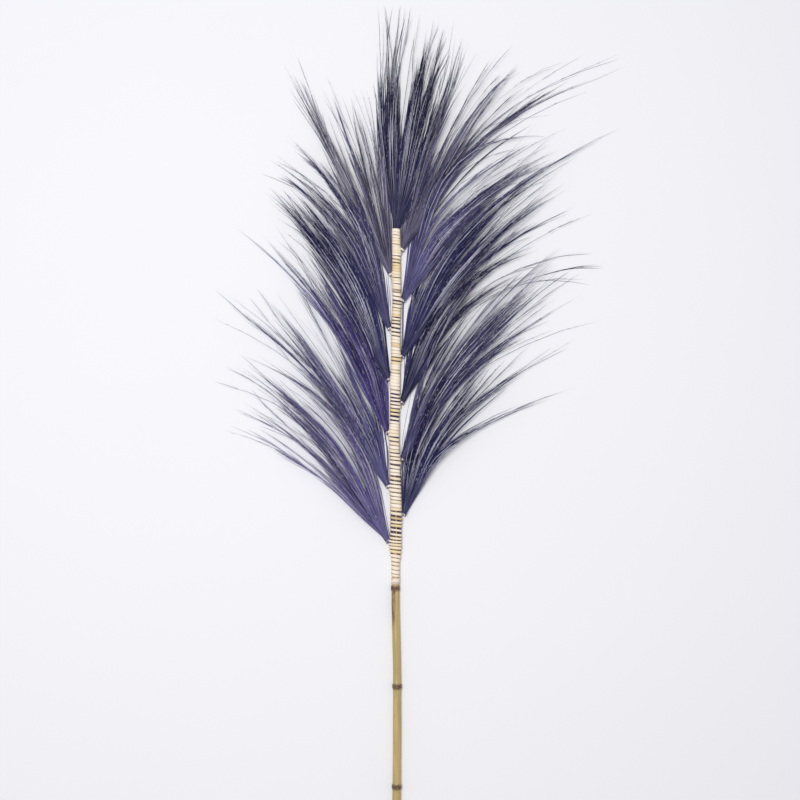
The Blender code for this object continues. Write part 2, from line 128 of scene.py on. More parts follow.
# The raffia strip's widths as shares of its usual one, the plain edge of a turn on the map, and how far a
# bound neck swells the winding.
STRIP_WIDTH_SHARES = (0.72, 0.9, 1.0, 1.1, 1.35)
TURN_MARGIN = 0.04
NECK_SWELL, NECK_SWELL_LENGTH, NECK_SWELL_DROP = 1.7, 8.0, 3.0
BOUND_STALKS, BOUND_STALK_RADIUS = 30, 0.95
COLLAR_STRIP = 7.0
TIE_STEPS, TIE_STEPS_A_TURN, TIE_TURNS, TIE_STRIP = 40, 21.0, 1.9, 2.3
TIE_RADIUS, TIE_RADIUS_GAIN = 2.5, 0.3

# Colours of the collar and the ties, the light and the floor. The browns also paint the shade at the edges of
# each turn.
COLLAR_PALE, COLLAR_GOLDEN, COLLAR_BROWN = (0.88, 0.77, 0.64), (0.80, 0.64, 0.46), (0.45, 0.30, 0.20)
TIE_PALE = (0.93, 0.87, 0.80)
ROOM_COLOUR, ROOM_STRENGTH = (0.94, 0.94, 1.0, 1.0), 0.48
LIGHT_PLACE, LIGHT_SIZE, LIGHT_POWER = (-0.45, 0.4, 3.0), 0.9, 61.0
FLOOR_SIZE = 14.0


class Lock(NamedTuple):
    """Where a lock's middle and tip lie, its half-width, and its share of the strands."""

    middle: tuple
    tip: tuple
    half_width: float
    share: float


class Tuft(NamedTuple):
    """Side -1 is left, 1 right and 0 the top of the stem. Lean is in degrees from the stem.

    Least lean is how near its inmost strands come to the stem's direction, in degrees.
    Fullness is 1 for a tuft that thins evenly to its tips, and more for one that stays dense further up.
    """

    side: int
    tie_y: float
    lean: float
    least_lean: float
    fullness: float
    tone: str
    locks: tuple


TUFTS = {
    "tuft_left_1": Tuft(-1, 54, 36, 17, 1.1, "violet", (
        Lock((-130, 172), (-286, 262), 8, 0.25), Lock((-115, 175), (-246, 266), 9, 0.4),
        Lock((-99, 190), (-201, 278), 11, 1.0), Lock((-108, 211), (-240, 318), 10, 1.6),
        Lock((-62, 198), (-159, 308), 12, 0.9), Lock((-45, 168), (-98, 273), 9, 0.4))),
    "tuft_left_2": Tuft(-1, 136, 33, 10, 1.15, "slate", (
        Lock((-114, 274), (-286, 366), 8, 0.15), Lock((-102, 278), (-261, 416), 11, 0.5),
        Lock((-87, 273), (-196, 420), 13, 2.1), Lock((-51, 254), (-154, 438), 12, 0.9))),
    "tuft_left_3": Tuft(-1, 216, 29, 9, 0.8, "purple", (
        Lock((-111, 404), (-276, 548), 9, 0.2), Lock((-81, 360), (-206, 518), 14, 1.0),
        Lock((-51, 340), (-144, 498), 14, 1.6))),
    "tuft_left_4": Tuft(-1, 296, 26, 10, 1.55, "indigo", (
        Lock((-99, 452), (-219, 596), 12, 0.35), Lock((-78, 441), (-180, 570), 14, 2.5),
        Lock((-60, 444), (-156, 580), 14, 3.0))),
    "tuft_left_5": Tuft(-1, 372, 23, 8, 1.2, "plum", (
        Lock((-78, 522), (-196, 626), 14, 1.5), Lock((-57, 528), (-156, 652), 12, 1.2),
        Lock((-42, 506), (-99, 656), 11, 0.55))),
    "tuft_left_6": Tuft(-1, 453, 16, 0, 1.0, "charcoal", (
        Lock((-82, 606), (-158, 756), 11, 1.2), Lock((-57, 608), (-111, 738), 10, 0.5),
        Lock((-39, 603), (-69, 734), 10, 0.3), Lock((-22, 603), (-33, 730), 8, 0.5))),
    "tuft_top": Tuft(0, 524, 0, 0, 1.5, "navy", (
        Lock((-11, 678), (0, 854), 7, 1.1), Lock((-1, 686), (16, 848), 10, 1.0),
        Lock((23, 678), (48, 826), 12, 2.9), Lock((38, 678), (78, 808), 13, 1.2),
        Lock((51, 656), (108, 813), 12, 0.5))),
    "tuft_right_6": Tuft(1, 490, 28, 2, 1.0, "charcoal", (
        Lock((134, 664), (336, 780), 10, 0.4), Lock((111, 682), (194, 772), 11, 0.35),
        Lock((74, 663), (156, 802), 12, 0.15), Lock((51, 640), (111, 776), 11, 0.3))),
    "tuft_right_5": Tuft(1, 414, 33, 10, 1.25, "slate", (
        Lock((84, 608), (228, 662), 8, 0.15), Lock((78, 560), (246, 668), 12, 0.25),
        Lock((90, 533), (228, 630), 16, 3.2))),
    "tuft_right_4": Tuft(1, 330, 35.5, 11, 1.35, "indigo", (
        Lock((81, 472), (246, 638), 14, 0.9), Lock((108, 516), (321, 656), 13, 0.8),
        Lock((108, 471), (243, 586), 13, 3.0), Lock((129, 472), (306, 578), 8, 0.1))),
    "tuft_right_3": Tuft(1, 261, 36, 8, 1.05, "navy", (
        Lock((66, 386), (156, 490), 15, 1.4), Lock((88, 416), (228, 506), 13, 1.1),
        Lock((104, 438), (294, 554), 8, 0.2), Lock((111, 412), (276, 480), 8, 0.1))),
    "tuft_right_2": Tuft(1, 177, 36.5, 6, 1.2, "plum", (
        Lock((90, 321), (228, 456), 13, 1.4), Lock((99, 348), (268, 518), 9, 0.3),
        Lock((108, 324), (252, 456), 11, 1.9), Lock((104, 303), (279, 423), 10, 0.8))),
    "tuft_right_1": Tuft(1, 94, 37, 3, 1.2, "indigo", (
        Lock((33, 206), (88, 340), 12, 1.5), Lock((58, 220), (156, 340), 13, 1.3),
        Lock((76, 228), (194, 348), 9, 0.5), Lock((96, 238), (315, 382), 10, 0.8),
        Lock((99, 208), (336, 298), 6, 0.12))),
}

TIP_XS = [lock.tip[0] for tuft in TUFTS.values() for lock in tuft.locks]
TIP_YS = [lock.tip[1] for tuft in TUFTS.values() for lock in tuft.locks]
X_LIMITS, Y_LIMITS = (min(TIP_XS), max(TIP_XS)), (CUT_END_Y, max(TIP_YS))
LAYOUT_CENTRE = np.array([(min(TIP_XS) + max(TIP_XS)) / 2, (CUT_END_Y + max(TIP_YS)) / 2, 0.0])


class Dye(NamedTuple):
    """The darkest, usual and palest colour of a tuft's fibres, and the usual colour of its greyer wisps. The
    palest also serves as a painted highlight on the palest strands.
    """

    dark: tuple
    usual: tuple
    pale: tuple
    grey: tuple


DYES = {
    "violet": Dye((0.038, 0.032, 0.086), (0.200, 0.168, 0.455), (0.68, 0.64, 0.76), (0.225, 0.205, 0.350)),
    "slate": Dye((0.027, 0.024, 0.062), (0.146, 0.134, 0.360), (0.76, 0.75, 0.83), (0.154, 0.147, 0.295)),
    "purple": Dye((0.036, 0.026, 0.105), (0.135, 0.098, 0.400), (0.62, 0.58, 0.74), (0.150, 0.132, 0.310)),
    "indigo": Dye((0.017, 0.015, 0.050), (0.050, 0.048, 0.195), (0.72, 0.72, 0.82), (0.061, 0.059, 0.150)),
    "plum": Dye((0.026, 0.021, 0.056), (0.104, 0.091, 0.280), (0.76, 0.75, 0.83), (0.118, 0.110, 0.225)),
    "charcoal": Dye((0.028, 0.025, 0.048), (0.192, 0.176, 0.335), (0.78, 0.76, 0.79), (0.226, 0.212, 0.286)),
    "navy": Dye((0.011, 0.010, 0.029), (0.042, 0.040, 0.142), (0.70, 0.70, 0.80), (0.050, 0.048, 0.115)),
}


def smooth(t):
    t = np.clip(t, 0.0, 1.0)
    return t * t * (3 - 2 * t)


def unit(vectors):
    return vectors / np.linalg.norm(vectors, axis=-1, keepdims=True)


def rows_at(rows, place):
    """Each column of the rows at places between them."""
    index = np.arange(len(rows))
    return np.stack([np.interp(place, index, column) for column in rows.T], axis=1)


def along_line(points, y, ease=False):
    """The value at y of a line through (y, value) points, straight or eased between them."""
    ys = np.array([point[0] for point in points])
    values = np.array([point[1] for point in points])
    if not ease:
        return np.interp(y, ys, values)
    place = np.clip(np.searchsorted(ys, y, side="right") - 1, 0, len(ys) - 2)
    step = smooth((y - ys[place]) / (ys[place + 1] - ys[place]))
    return values[place] + (values[place + 1] - values[place]) * step


def cane_radius(y):
    return along_line(CANE_RADII, y)


def stem_x(y):
    return along_line(STEM_BOW, y, ease=True)


AXIS_HEIGHT = float(cane_radius(NODE_YS[0])) + NODE_RISE


def stalk_thickness(y):
    low, high = STALK_THICKNESS
    return low + (high - low) * smooth(y / WINDING_TOP_Y)


def winding_inside(y):
    """Half-width and half-height of the space inside the winding."""
    room = (stalk_thickness(y) + CLEARANCE) * smooth((y - 18.0) / 26.0)
    return cane_radius(y) + CLEARANCE + room, cane_radius(y) + ROOM_OVER_CANE


def to_frame(points):
    """Layout millimetres to the part's frame in metres."""
    return (np.asarray(points) - LAYOUT_CENTRE) * MM


def deselect_all():
    for obj in list(bpy.context.selected_objects):
        obj.select_set(False)


def template_points(obj):
    """A template's vertices, its faces' corners and each face's size. The template is then removed."""
    mesh = obj.data
    points = np.empty(len(mesh.vertices) * 3)
    mesh.vertices.foreach_get("co", points)
    corners = np.empty(len(mesh.loops), dtype=int)
    mesh.loops.foreach_get("vertex_index", corners)
    sizes = np.empty(len(mesh.polygons), dtype=int)
    mesh.polygons.foreach_get("loop_total", sizes)
    bpy.data.objects.remove(obj)
    bpy.data.meshes.remove(mesh)
    return points.reshape(-1, 3), corners, sizes


def stem_template(rings):
    """A three-sided fibre of unit length and radius along z, drawn to a point."""
    deselect_all()
    bpy.ops.mesh.primitive_circle_add(vertices=3, radius=1.0, fill_type="NGON")
    bpy.ops.object.mode_set(mode="EDIT")
    bpy.ops.mesh.select_all(action="SELECT")
    for _ in range(rings):
        bpy.ops.mesh.extrude_region_move(TRANSFORM_OT_translate={"value": (0, 0, 1 / rings)})
    bpy.ops.mesh.merge(type="CENTER")
    bpy.ops.mesh.select_all(action="SELECT")
    bpy.ops.mesh.normals_make_consistent(inside=False)
    bpy.ops.object.mode_set(mode="OBJECT")
    return template_points(bpy.context.object)


def spikelet_template():
    """A spindle of unit length along z, widest a third of the way up."""
    deselect_all()
    bpy.ops.mesh.primitive_cone_add(vertices=3, radius1=1.0, radius2=0.0, depth=HUSK_TAPER)
    obj = bpy.context.object
    bpy.ops.object.mode_set(mode="EDIT")
    bpy.ops.mesh.select_all(action="DESELECT")
    bpy.ops.object.mode_set(mode="OBJECT")
    for face in obj.data.polygons:
        face.select = face.normal.z < -0.9
    bpy.ops.object.mode_set(mode="EDIT")
    bpy.ops.mesh.poke()
    bpy.ops.object.mode_set(mode="OBJECT")
    points, corners, sizes = template_points(obj)
    points[:, 2] += HUSK_MIDDLE
    on_axis = np.hypot(points[:, 0], points[:, 1]) < 0.01
    points[on_axis & (points[:, 2] < 0.5), 2] = 0.0
    return points, corners, sizes


def strip_template(steps, across):
    """A flat strip with thickness: x runs along it, y across and z through it, each from -0.5 to 0.5."""
    deselect_all()
    bpy.ops.mesh.primitive_grid_add(x_subdivisions=steps, y_subdivisions=across, size=1.0)
    obj = bpy.context.object
    wall = obj.modifiers.new("wall", "SOLIDIFY")
    wall.thickness = 1.0
    wall.offset = 0.0
    bpy.ops.object.modifier_apply(modifier=wall.name)
    return template_points(obj)


def make_mesh(name, points, corners, sizes, uvs):
    """A smooth-shaded object from arrays in the part's frame, with its map."""
    mesh = bpy.data.meshes.new(name)
    mesh.vertices.add(len(points))
    mesh.vertices.foreach_set("co", np.ascontiguousarray(points, dtype=np.float32).ravel())
    mesh.loops.add(len(corners))
    mesh.loops.foreach_set("vertex_index", corners.astype(np.int32))
    mesh.polygons.add(len(sizes))
    starts = np.concatenate(([0], np.cumsum(sizes)[:-1]))
    mesh.polygons.foreach_set("loop_start", starts.astype(np.int32))
    mesh.polygons.foreach_set("loop_total", sizes.astype(np.int32))
    mesh.update(calc_edges=True)
    if mesh.validate():
        raise RuntimeError(f"{name} has faces that Blender had to mend")
    layer = mesh.uv_layers.new(name=FIBRE_MAP)
    layer.data.foreach_set("uv", np.ascontiguousarray(uvs, dtype=np.float32).ravel())
    mesh.shade_smooth()
    obj = bpy.data.objects.new(name, mesh)
    bpy.context.scene.collection.objects.link(obj)
    return obj


class Heap:
    """Gathers many copies of templates into one mesh."""

    def __init__(self):
        self.points, self.corners, self.sizes, self.uvs, self.total = [], [], [], [], 0

    def add(self, template, placed, columns, alongs):
        """placed is (copies, vertices, 3); columns and alongs are each vertex's place on the map."""
        _, corners, sizes = template
        copies, count, _ = placed.shape
        shift = self.total + np.arange(copies)[:, None] * count
        self.corners.append((corners[None, :] + shift).ravel())
        self.sizes.append(np.tile(sizes, copies))
        self.points.append(placed.reshape(-1, 3))
        pairs = np.stack([columns, alongs], axis=-1)
        self.uvs.append(pairs[:, corners].reshape(-1, 2))
        self.total += copies * count

    def make(self, name):
        points = to_frame(np.concatenate(self.points))
        return make_mesh(name, points, np.concatenate(self.corners), np.concatenate(self.sizes),
                         np.concatenate(self.uvs))


def heading_of(tuft):
    angle = math.radians(tuft.lean)
    return np.array([tuft.side * math.sin(angle), math.cos(angle)])


def tie_place(tuft):
    """Where a tuft's tie grips its neck, seen from above."""
    reach = winding_inside(tuft.tie_y)[0] + WALL + TIE_STAND_OFF
    return np.array([float(stem_x(tuft.tie_y)) + tuft.side * float(reach), float(tuft.tie_y)])


def eased_in(value, low, high):
    """Draws in what reaches past low or high, to a small share of its overshoot."""
    past = np.clip(value - high, 0, None) - np.clip(low - value, 0, None)
    return value - past * 0.8


class Fan:
    """A tuft's strands as curves: each starts at the tie and bends along a lock, or between two locks."""

    def __init__(self, tuft, rng):
        self.tuft = tuft
        self.rng = rng
        self.start = tie_place(tuft)
        self.tips = np.array([lock.tip for lock in tuft.locks], float)
        middles = np.array([lock.middle for lock in tuft.locks], float)
        self.bends = 2 * middles - (self.start + self.tips) / 2
        self.widths = np.array([lock.half_width for lock in tuft.locks], float)
        self.shares = np.array([lock.share for lock in tuft.locks], float)
        heading = heading_of(tuft)
        self.upper_edge = np.array([-tuft.side * heading[1], abs(heading[0])])
        self.lock_tones = rng.uniform(0.0, 1.0, len(tuft.locks) + 1)
        self.neck = NECK_HALF_WIDTH if tuft.side else TOP_NECK_HALF_WIDTH
        leans = np.arctan2(middles[:, 0] - self.start[0], middles[:, 1] - self.start[1])
        self.hand = -1 if tuft.side < 0 else 1
        order = np.argsort(leans * self.hand)
        self.inner, self.outer = order[0], order[-1]
        room = min(max(abs(leans[self.inner]) - math.radians(tuft.least_lean), 0.0), MOST_TURN)
        self.inner_room, self.outer_room = (room, OUTWARD_TURN) if tuft.side else TOP_TURNS

    def height(self, x, y):
        """The middle height of the tuft over a place."""
        off_x, off_y = x - self.start[0], y - self.start[1]
        away = np.hypot(off_x, off_y)
        if self.tuft.side == 0:
            return AXIS_HEIGHT - TOP_TUFT_SINK * smooth(away / TOP_TUFT_SINK_LENGTH)
        rise = SHOULDER_RISE * smooth((np.abs(x) - SHOULDER_START) / SHOULDER_WIDTH)
        edge = off_x * self.upper_edge[0] + off_y * self.upper_edge[1]
        out = smooth((np.abs(x) - SHOULDER_START) / TUCK_WIDTH)
        tuck = TUCK_DEPTH * (1 - out) * smooth(away / SHINGLE_START)
        return AXIS_HEIGHT + rise - tuck + SHINGLE_SLOPE * edge * smooth(away / SHINGLE_START) * out

    def draw(self, wisps, strands_a_wisp):
        """Draws wisps of strands: along the locks, between two of them, or turned past the fan's edges."""
        rng, locks = self.rng, len(self.widths)
        pick = rng.choice(locks, wisps, p=self.shares / self.shares.sum())
        kind = rng.uniform(size=wisps)
        loose = kind < LOOSE_SHARE
        inner = kind > 1 - INNER_SHARE
        outer = ~inner & (kind > 1 - INNER_SHARE - OUTER_SHARE)
        pick = np.where(inner, self.inner, np.where(outer, self.outer, pick))
        below, above = np.maximum(pick - 1, 0), np.minimum(pick + 1, locks - 1)
        upward = rng.uniform(size=wisps) * (self.shares[below] + self.shares[above]) < self.shares[above]
        other = np.where(upward, above, below)
        part = np.where(loose, rng.uniform(size=wisps), 0.0)[:, None]
        bends = self.bends[pick] * (1 - part) + self.bends[other] * part
        tips = self.tips[pick] * (1 - part) + self.tips[other] * part
        turn = np.where(outer, rng.triangular(0.0, 0.0, self.outer_room, wisps), 0.0)
        turn = (turn - np.where(inner, rng.uniform(0.0, self.inner_room, wisps), 0.0)) * self.hand
        bends, tips = self.turned(bends, turn), self.turned(tips, turn)
        across = rng.triangular(-1.0, 0.0, 1.0, wisps) + rng.uniform(-0.4, 0.4, wisps)
        place = pick + part[:, 0] * (other - pick)
        tone = np.interp(place, np.arange(locks + 1), self.lock_tones)
        luck = rng.uniform(size=wisps)
        held = along_line(HELD_REACHES, luck) ** (1 / self.tuft.fullness)
        held = held * (1 - 0.3 * np.abs(across) ** 1.5)
        reach = np.where(loose | inner | outer, along_line(LOOSE_REACHES, luck), held)
        layer = rng.uniform(-1.0, 1.0, wisps) - 2.0 * inner
        # This draw is not used. It keeps the later ones in their places.
        rng.uniform(size=wisps)
        drawn = {
            "bend_x": bends[:, 0], "bend_y": bends[:, 1], "tip_x": tips[:, 0], "tip_y": tips[:, 1],
            "across": across * self.widths[pick], "lift": LOCK_SPREAD * ((pick % 3) - 1.0), "reach": reach,
            "layer": layer, "tone": 0.35 * tone + 0.65 * rng.uniform(size=wisps),
            "sway": rng.normal(0.0, 5.0, wisps) * np.where(rng.uniform(size=wisps) < 0.1, 2.5, 1.0),
            "wave": rng.uniform(0.2, 0.9, wisps), "waves": rng.uniform(1.0, 3.0, wisps),
            "phase": rng.uniform(0.0, 2 * math.pi, wisps),
        }
        strands = {key: np.repeat(value, strands_a_wisp) for key, value in drawn.items()}
        count = wisps * strands_a_wisp
        strands["apart"] = rng.normal(0.0, STRAND_APART, count)
        strands["layer"] = strands["layer"] + rng.normal(0.0, 0.2, count)
        strands["reach"] = strands["reach"] * (1 - np.abs(rng.normal(0.0, 0.13, count)))
        stray = rng.uniform(size=count) < STRAY_SHARE
        strands["reach"] = np.where(stray, rng.uniform(*STRAY_REACHES, count), strands["reach"])
        strands["sway"] = strands["sway"] + rng.normal(0.0, 1.8, count) * np.where(stray, STRAY_SWAY, 1.0)
        strands["girth"] = np.where(stray, STRAY_GIRTH, 1.0)
        strands["phase"] = strands["phase"] + rng.normal(0.0, 0.35, count)
        own = rng.uniform(size=count)
        shared = np.clip(strands["tone"] + rng.normal(0.0, 0.06, count), 0.0, 1.0)
        strands["tone"] = np.where(rng.uniform(size=count) < 0.35, own, shared)
        # The palest strands: paler fibres, and partly a painted highlight on the strands.
        bright = rng.uniform(size=count) < BRIGHT_SHARE
        strands["tone"] = np.where(bright, 1.0, strands["tone"])
        strands["layer"] = strands["layer"] + 1.3 * bright
        for key in ("fork", "fork_at", "fork_up"):
            strands[key] = np.zeros(count)
        return strands

    def turned(self, places, angle):
        """Places turned clockwise round the tie."""
        off = places - self.start
        cos, sin = np.cos(angle), np.sin(angle)
        x = off[:, 0] * cos + off[:, 1] * sin
        y = off[:, 1] * cos - off[:, 0] * sin
        return self.start + np.stack([x, y], axis=1)

    def centre(self, strands, t):
        """Each strand's points at t, an array of (strands, points), as x, y, z."""
        bend = np.stack([strands["bend_x"], strands["bend_y"]], axis=1)[:, None, :]
        tip = np.stack([strands["tip_x"], strands["tip_y"]], axis=1)[:, None, :]
        s = t[:, :, None]
        flat = self.start * (1 - s) ** 2 + bend * 2 * s * (1 - s) + tip * s**2
        middle = (self.start + 2 * bend + tip) / 4
        straight = STRAIGHTNESS * (1 - smooth(s / 0.5))
        flat = flat + (self.start + (middle - self.start) * 2 * s - flat) * straight
        slope = (bend - self.start) * (1 - s) + (tip - bend) * s
        slope = slope * (1 - straight) + (middle - self.start) * straight
        slope = unit(slope)
        column = {key: value[:, None] for key, value in strands.items()}
        opening = 1 - (1 - np.clip(t / OPEN_BY, 0.0, 1.0)) ** OPENING_POWER
        opening = opening * (1 - CLOSING * smooth((t - CLOSE_FROM) / 0.4))
        half = self.widths.mean()
        aside = column["across"] * np.sqrt(opening**2 + (self.neck / half) ** 2)
        aside = aside + column["apart"] * (1 - 0.55 * smooth((t - 0.3) / 0.6))
        aside = aside + column["sway"] * np.clip(t - SWAY_FROM, 0, None) ** 2 * 2.0
        aside = aside + column["wave"] * smooth(t / 0.3) * np.sin(column["phase"] + column["waves"] * 6.3 * t)
        past_fork = np.clip(t - column["fork_at"], 0, None)
        aside = aside + column["fork"] * past_fork
        x = flat[:, :, 0] + slope[:, :, 1] * aside
        y = flat[:, :, 1] - slope[:, :, 0] * aside
        z = self.height(x, y) + column["lift"] * smooth((t - 0.1) / 0.2)
        z = z + column["layer"] * (LAYER_DEPTH + LAYER_GAIN * smooth(t / 0.4))
        z = z + 0.6 * column["wave"] * np.cos(column["phase"] * 2 + column["waves"] * 5.1 * t)
        z = z + column["fork_up"] * past_fork
        x, y = eased_in(x, *X_LIMITS), eased_in(y, *Y_LIMITS)
        return np.stack([x, y, np.maximum(z, LEAST_HEIGHT)], axis=-1)

    def tube(self, template, strands, first, last, radius):
        """Lays a fibre template along each strand from first to last, thinning to its tip."""
        points = template[0]
        t = first[:, None] + (last - first)[:, None] * points[None, :, 2]
        centre = self.centre(strands, t)
        ahead = unit(self.centre(strands, t + STEP_AHEAD) - centre)
        side = unit(np.stack([ahead[:, :, 1], -ahead[:, :, 0], np.zeros(t.shape)], axis=-1))
        up = np.cross(side, ahead)
        thin = radius[:, None] * (1 - 0.5 * points[None, :, 2] ** 5) * (0.6 + 0.4 * smooth(t / 0.25))
        placed = centre + side * (thin * points[None, :, 0])[:, :, None]
        placed = placed + up * (thin * points[None, :, 1])[:, :, None]
        placed[:, :, 2] = np.maximum(placed[:, :, 2], LEAST_FACE_HEIGHT)
        return placed, t


def link(tree, source, target):
    tree.links.new(source, target)


def give(tree, socket, value):
    """Links a socket to another one, or sets its value."""
    if isinstance(value, bpy.types.NodeSocket):
        link(tree, value, socket)
    else:
        socket.default_value = value


def math_node(tree, operation, first, second=None):
    """A Math node whose inputs are sockets or numbers. Returns its output."""
    node = tree.nodes.new("ShaderNodeMath")
    node.operation = operation
    for socket, value in zip(node.inputs, (first, second)):
        if value is not None:
            give(tree, socket, value)
    return node.outputs[0]


def mix_colours(tree, factor, first, second, blend="MIX"):
    node = tree.nodes.new("ShaderNodeMix")
    node.data_type = "RGBA"
    node.blend_type = blend
    for socket, value in ((node.inputs[0], factor), (node.inputs[6], first), (node.inputs[7], second)):
        give(tree, socket, value)
    return node.outputs[2]


def ranged(tree, value, low, high, to_low=0.0, to_high=1.0, smooth_step=False):
    node = tree.nodes.new("ShaderNodeMapRange")
    node.interpolation_type = "SMOOTHSTEP" if smooth_step else "LINEAR"
    link(tree, value, node.inputs["Value"])
    for name, number in (("From Min", low), ("From Max", high), ("To Min", to_low), ("To Max", to_high)):
        node.inputs[name].default_value = number
    return node.outputs["Result"]


def noise(tree, vector, scale, detail, roughness=0.5):
    """Noise with its own scale along each axis of a vector."""
    stretched = tree.nodes.new("ShaderNodeVectorMath")
    stretched.operation = "MULTIPLY"
    link(tree, vector, stretched.inputs[0])
    stretched.inputs[1].default_value = scale
    node = tree.nodes.new("ShaderNodeTexNoise")
    node.inputs["Scale"].default_value = 1.0
    node.inputs["Detail"].default_value = detail
    node.inputs["Roughness"].default_value = roughness
    link(tree, stretched.outputs[0], node.inputs["Vector"])
    return node.outputs["Fac"]


def new_group(name, inputs, outputs):
    """A shader node group with its inputs as (kind, name, default) and outputs as (kind, name)."""
    group = bpy.data.node_groups.new(name, "ShaderNodeTree")
    for kind, label, default in inputs:
        socket = group.interface.new_socket(label, in_out="INPUT", socket_type="NodeSocket" + kind)
        socket.default_value = default
    for kind, label in outputs:
        group.interface.new_socket(label, in_out="OUTPUT", socket_type="NodeSocket" + kind)
    return group, group.nodes.new("NodeGroupInput").outputs, group.nodes.new("NodeGroupOutput").inputs


def dyed_fibre_group():
    """Colour of a dyed grass fibre. The map's u holds its tone, and its v how far up the tuft a place is."""
    name = "Dyed fibre"
    if name in bpy.data.node_groups:
        return bpy.data.node_groups[name]
    group, given, out = new_group(
        name,
        (("Vector", "Map", (0, 0, 0)), ("Color", "Dark", (0, 0, 0, 1)), ("Color", "Usual", (0, 0, 0, 1)),
         ("Color", "Pale", (0, 0, 0, 1)), ("Color", "Grey", (0, 0, 0, 1))),
        (("Color", "Color"), ("Float", "Roughness"), ("Float", "Height")))
    split = group.nodes.new("ShaderNodeSeparateXYZ")
    link(group, given["Map"], split.inputs[0])
    column, along = split.outputs[0], split.outputs[1]
    hue = noise(group, given["Map"], (190.0, 0.4, 1.0), detail=1.0)
    streak = noise(group, given["Map"], (900.0, 14.0, 1.0), detail=2.0)
    tone = math_node(group, "DIVIDE", column, SPIKELET_COLUMN)
    usual = mix_colours(group, ranged(group, hue, 0.42, 0.58), given["Usual"], given["Grey"])
    shade = mix_colours(group, ranged(group, tone, 0.08, 0.5), given["Dark"], usual)
    # The palest tones fade to the pale colour up the tuft: paler fibres, and partly a painted highlight.
    pale_and_highlit = math_node(group, "MULTIPLY", ranged(group, tone, 0.74, 0.94), ranged(
        group, along, 0.12, 0.38, 0.1, 1.0))
    shade = mix_colours(group, pale_and_highlit, shade, given["Pale"])
    shade = mix_colours(group, ranged(group, streak, 0.5, 0.75, 0.0, 0.4), shade, given["Dark"])
    shade = mix_colours(group, ranged(group, along, 0.45, 0.9, 0.0, 0.45), shade, given["Dark"])
    husk = mix_colours(group, ranged(group, column, 0.88, 0.98), usual, given["Pale"])
    spikelet = ranged(group, column, SPIKELET_COLUMN - 0.01, SPIKELET_COLUMN)
    shade = mix_colours(group, spikelet, shade, husk)
    link(group, shade, out["Color"])
    link(group, ranged(group, streak, 0.2, 0.8, 0.45, 0.75), out["Roughness"])
    link(group, streak, out["Height"])
    return group


def new_material(name):
    """A material with its tree, its Principled shader and a fresh start."""
    material = bpy.data.materials.new(name)
    material.use_nodes = True
    tree = material.node_tree
    return material, tree, tree.nodes["Principled BSDF"]


def place_group(tree, shader, group, values):
    """Places a group, gives it its values and lets it colour the shader."""
    node = tree.nodes.new("ShaderNodeGroup")
    node.node_tree = group
    for name, value in values.items():
        give(tree, node.inputs[name], value)
    link(tree, node.outputs["Color"], shader.inputs["Base Color"])
    link(tree, node.outputs["Roughness"], shader.inputs["Roughness"])
    return node.outputs


def add_bump(tree, shader, height, strength, distance):
    bump = tree.nodes.new("ShaderNodeBump")
    bump.inputs["Strength"].default_value = strength
    bump.inputs["Distance"].default_value = distance
    link(tree, height, bump.inputs["Height"])
    link(tree, bump.outputs["Normal"], shader.inputs["Normal"])


def map_of(tree):
    node = tree.nodes.new("ShaderNodeUVMap")
    node.uv_map = FIBRE_MAP
    return node.outputs["UV"]


def object_coordinates(tree):
    return tree.nodes.new("ShaderNodeTexCoord").outputs["Object"]


def grass_material(tone):
    name = "Rayung grass, " + tone
    if name in bpy.data.materials:
        return bpy.data.materials[name]
    material, tree, shader = new_material(name)
    dye = DYES[tone]
    made = place_group(tree, shader, dyed_fibre_group(), {
        "Map": map_of(tree), "Dark": (*dye.dark, 1), "Usual": (*dye.usual, 1), "Pale": (*dye.pale, 1),
        "Grey": (*dye.grey, 1)})
    shader.inputs["Specular IOR Level"].default_value = 0.15
    add_bump(tree, shader, made["Height"], 0.3, 0.0002)
    return material


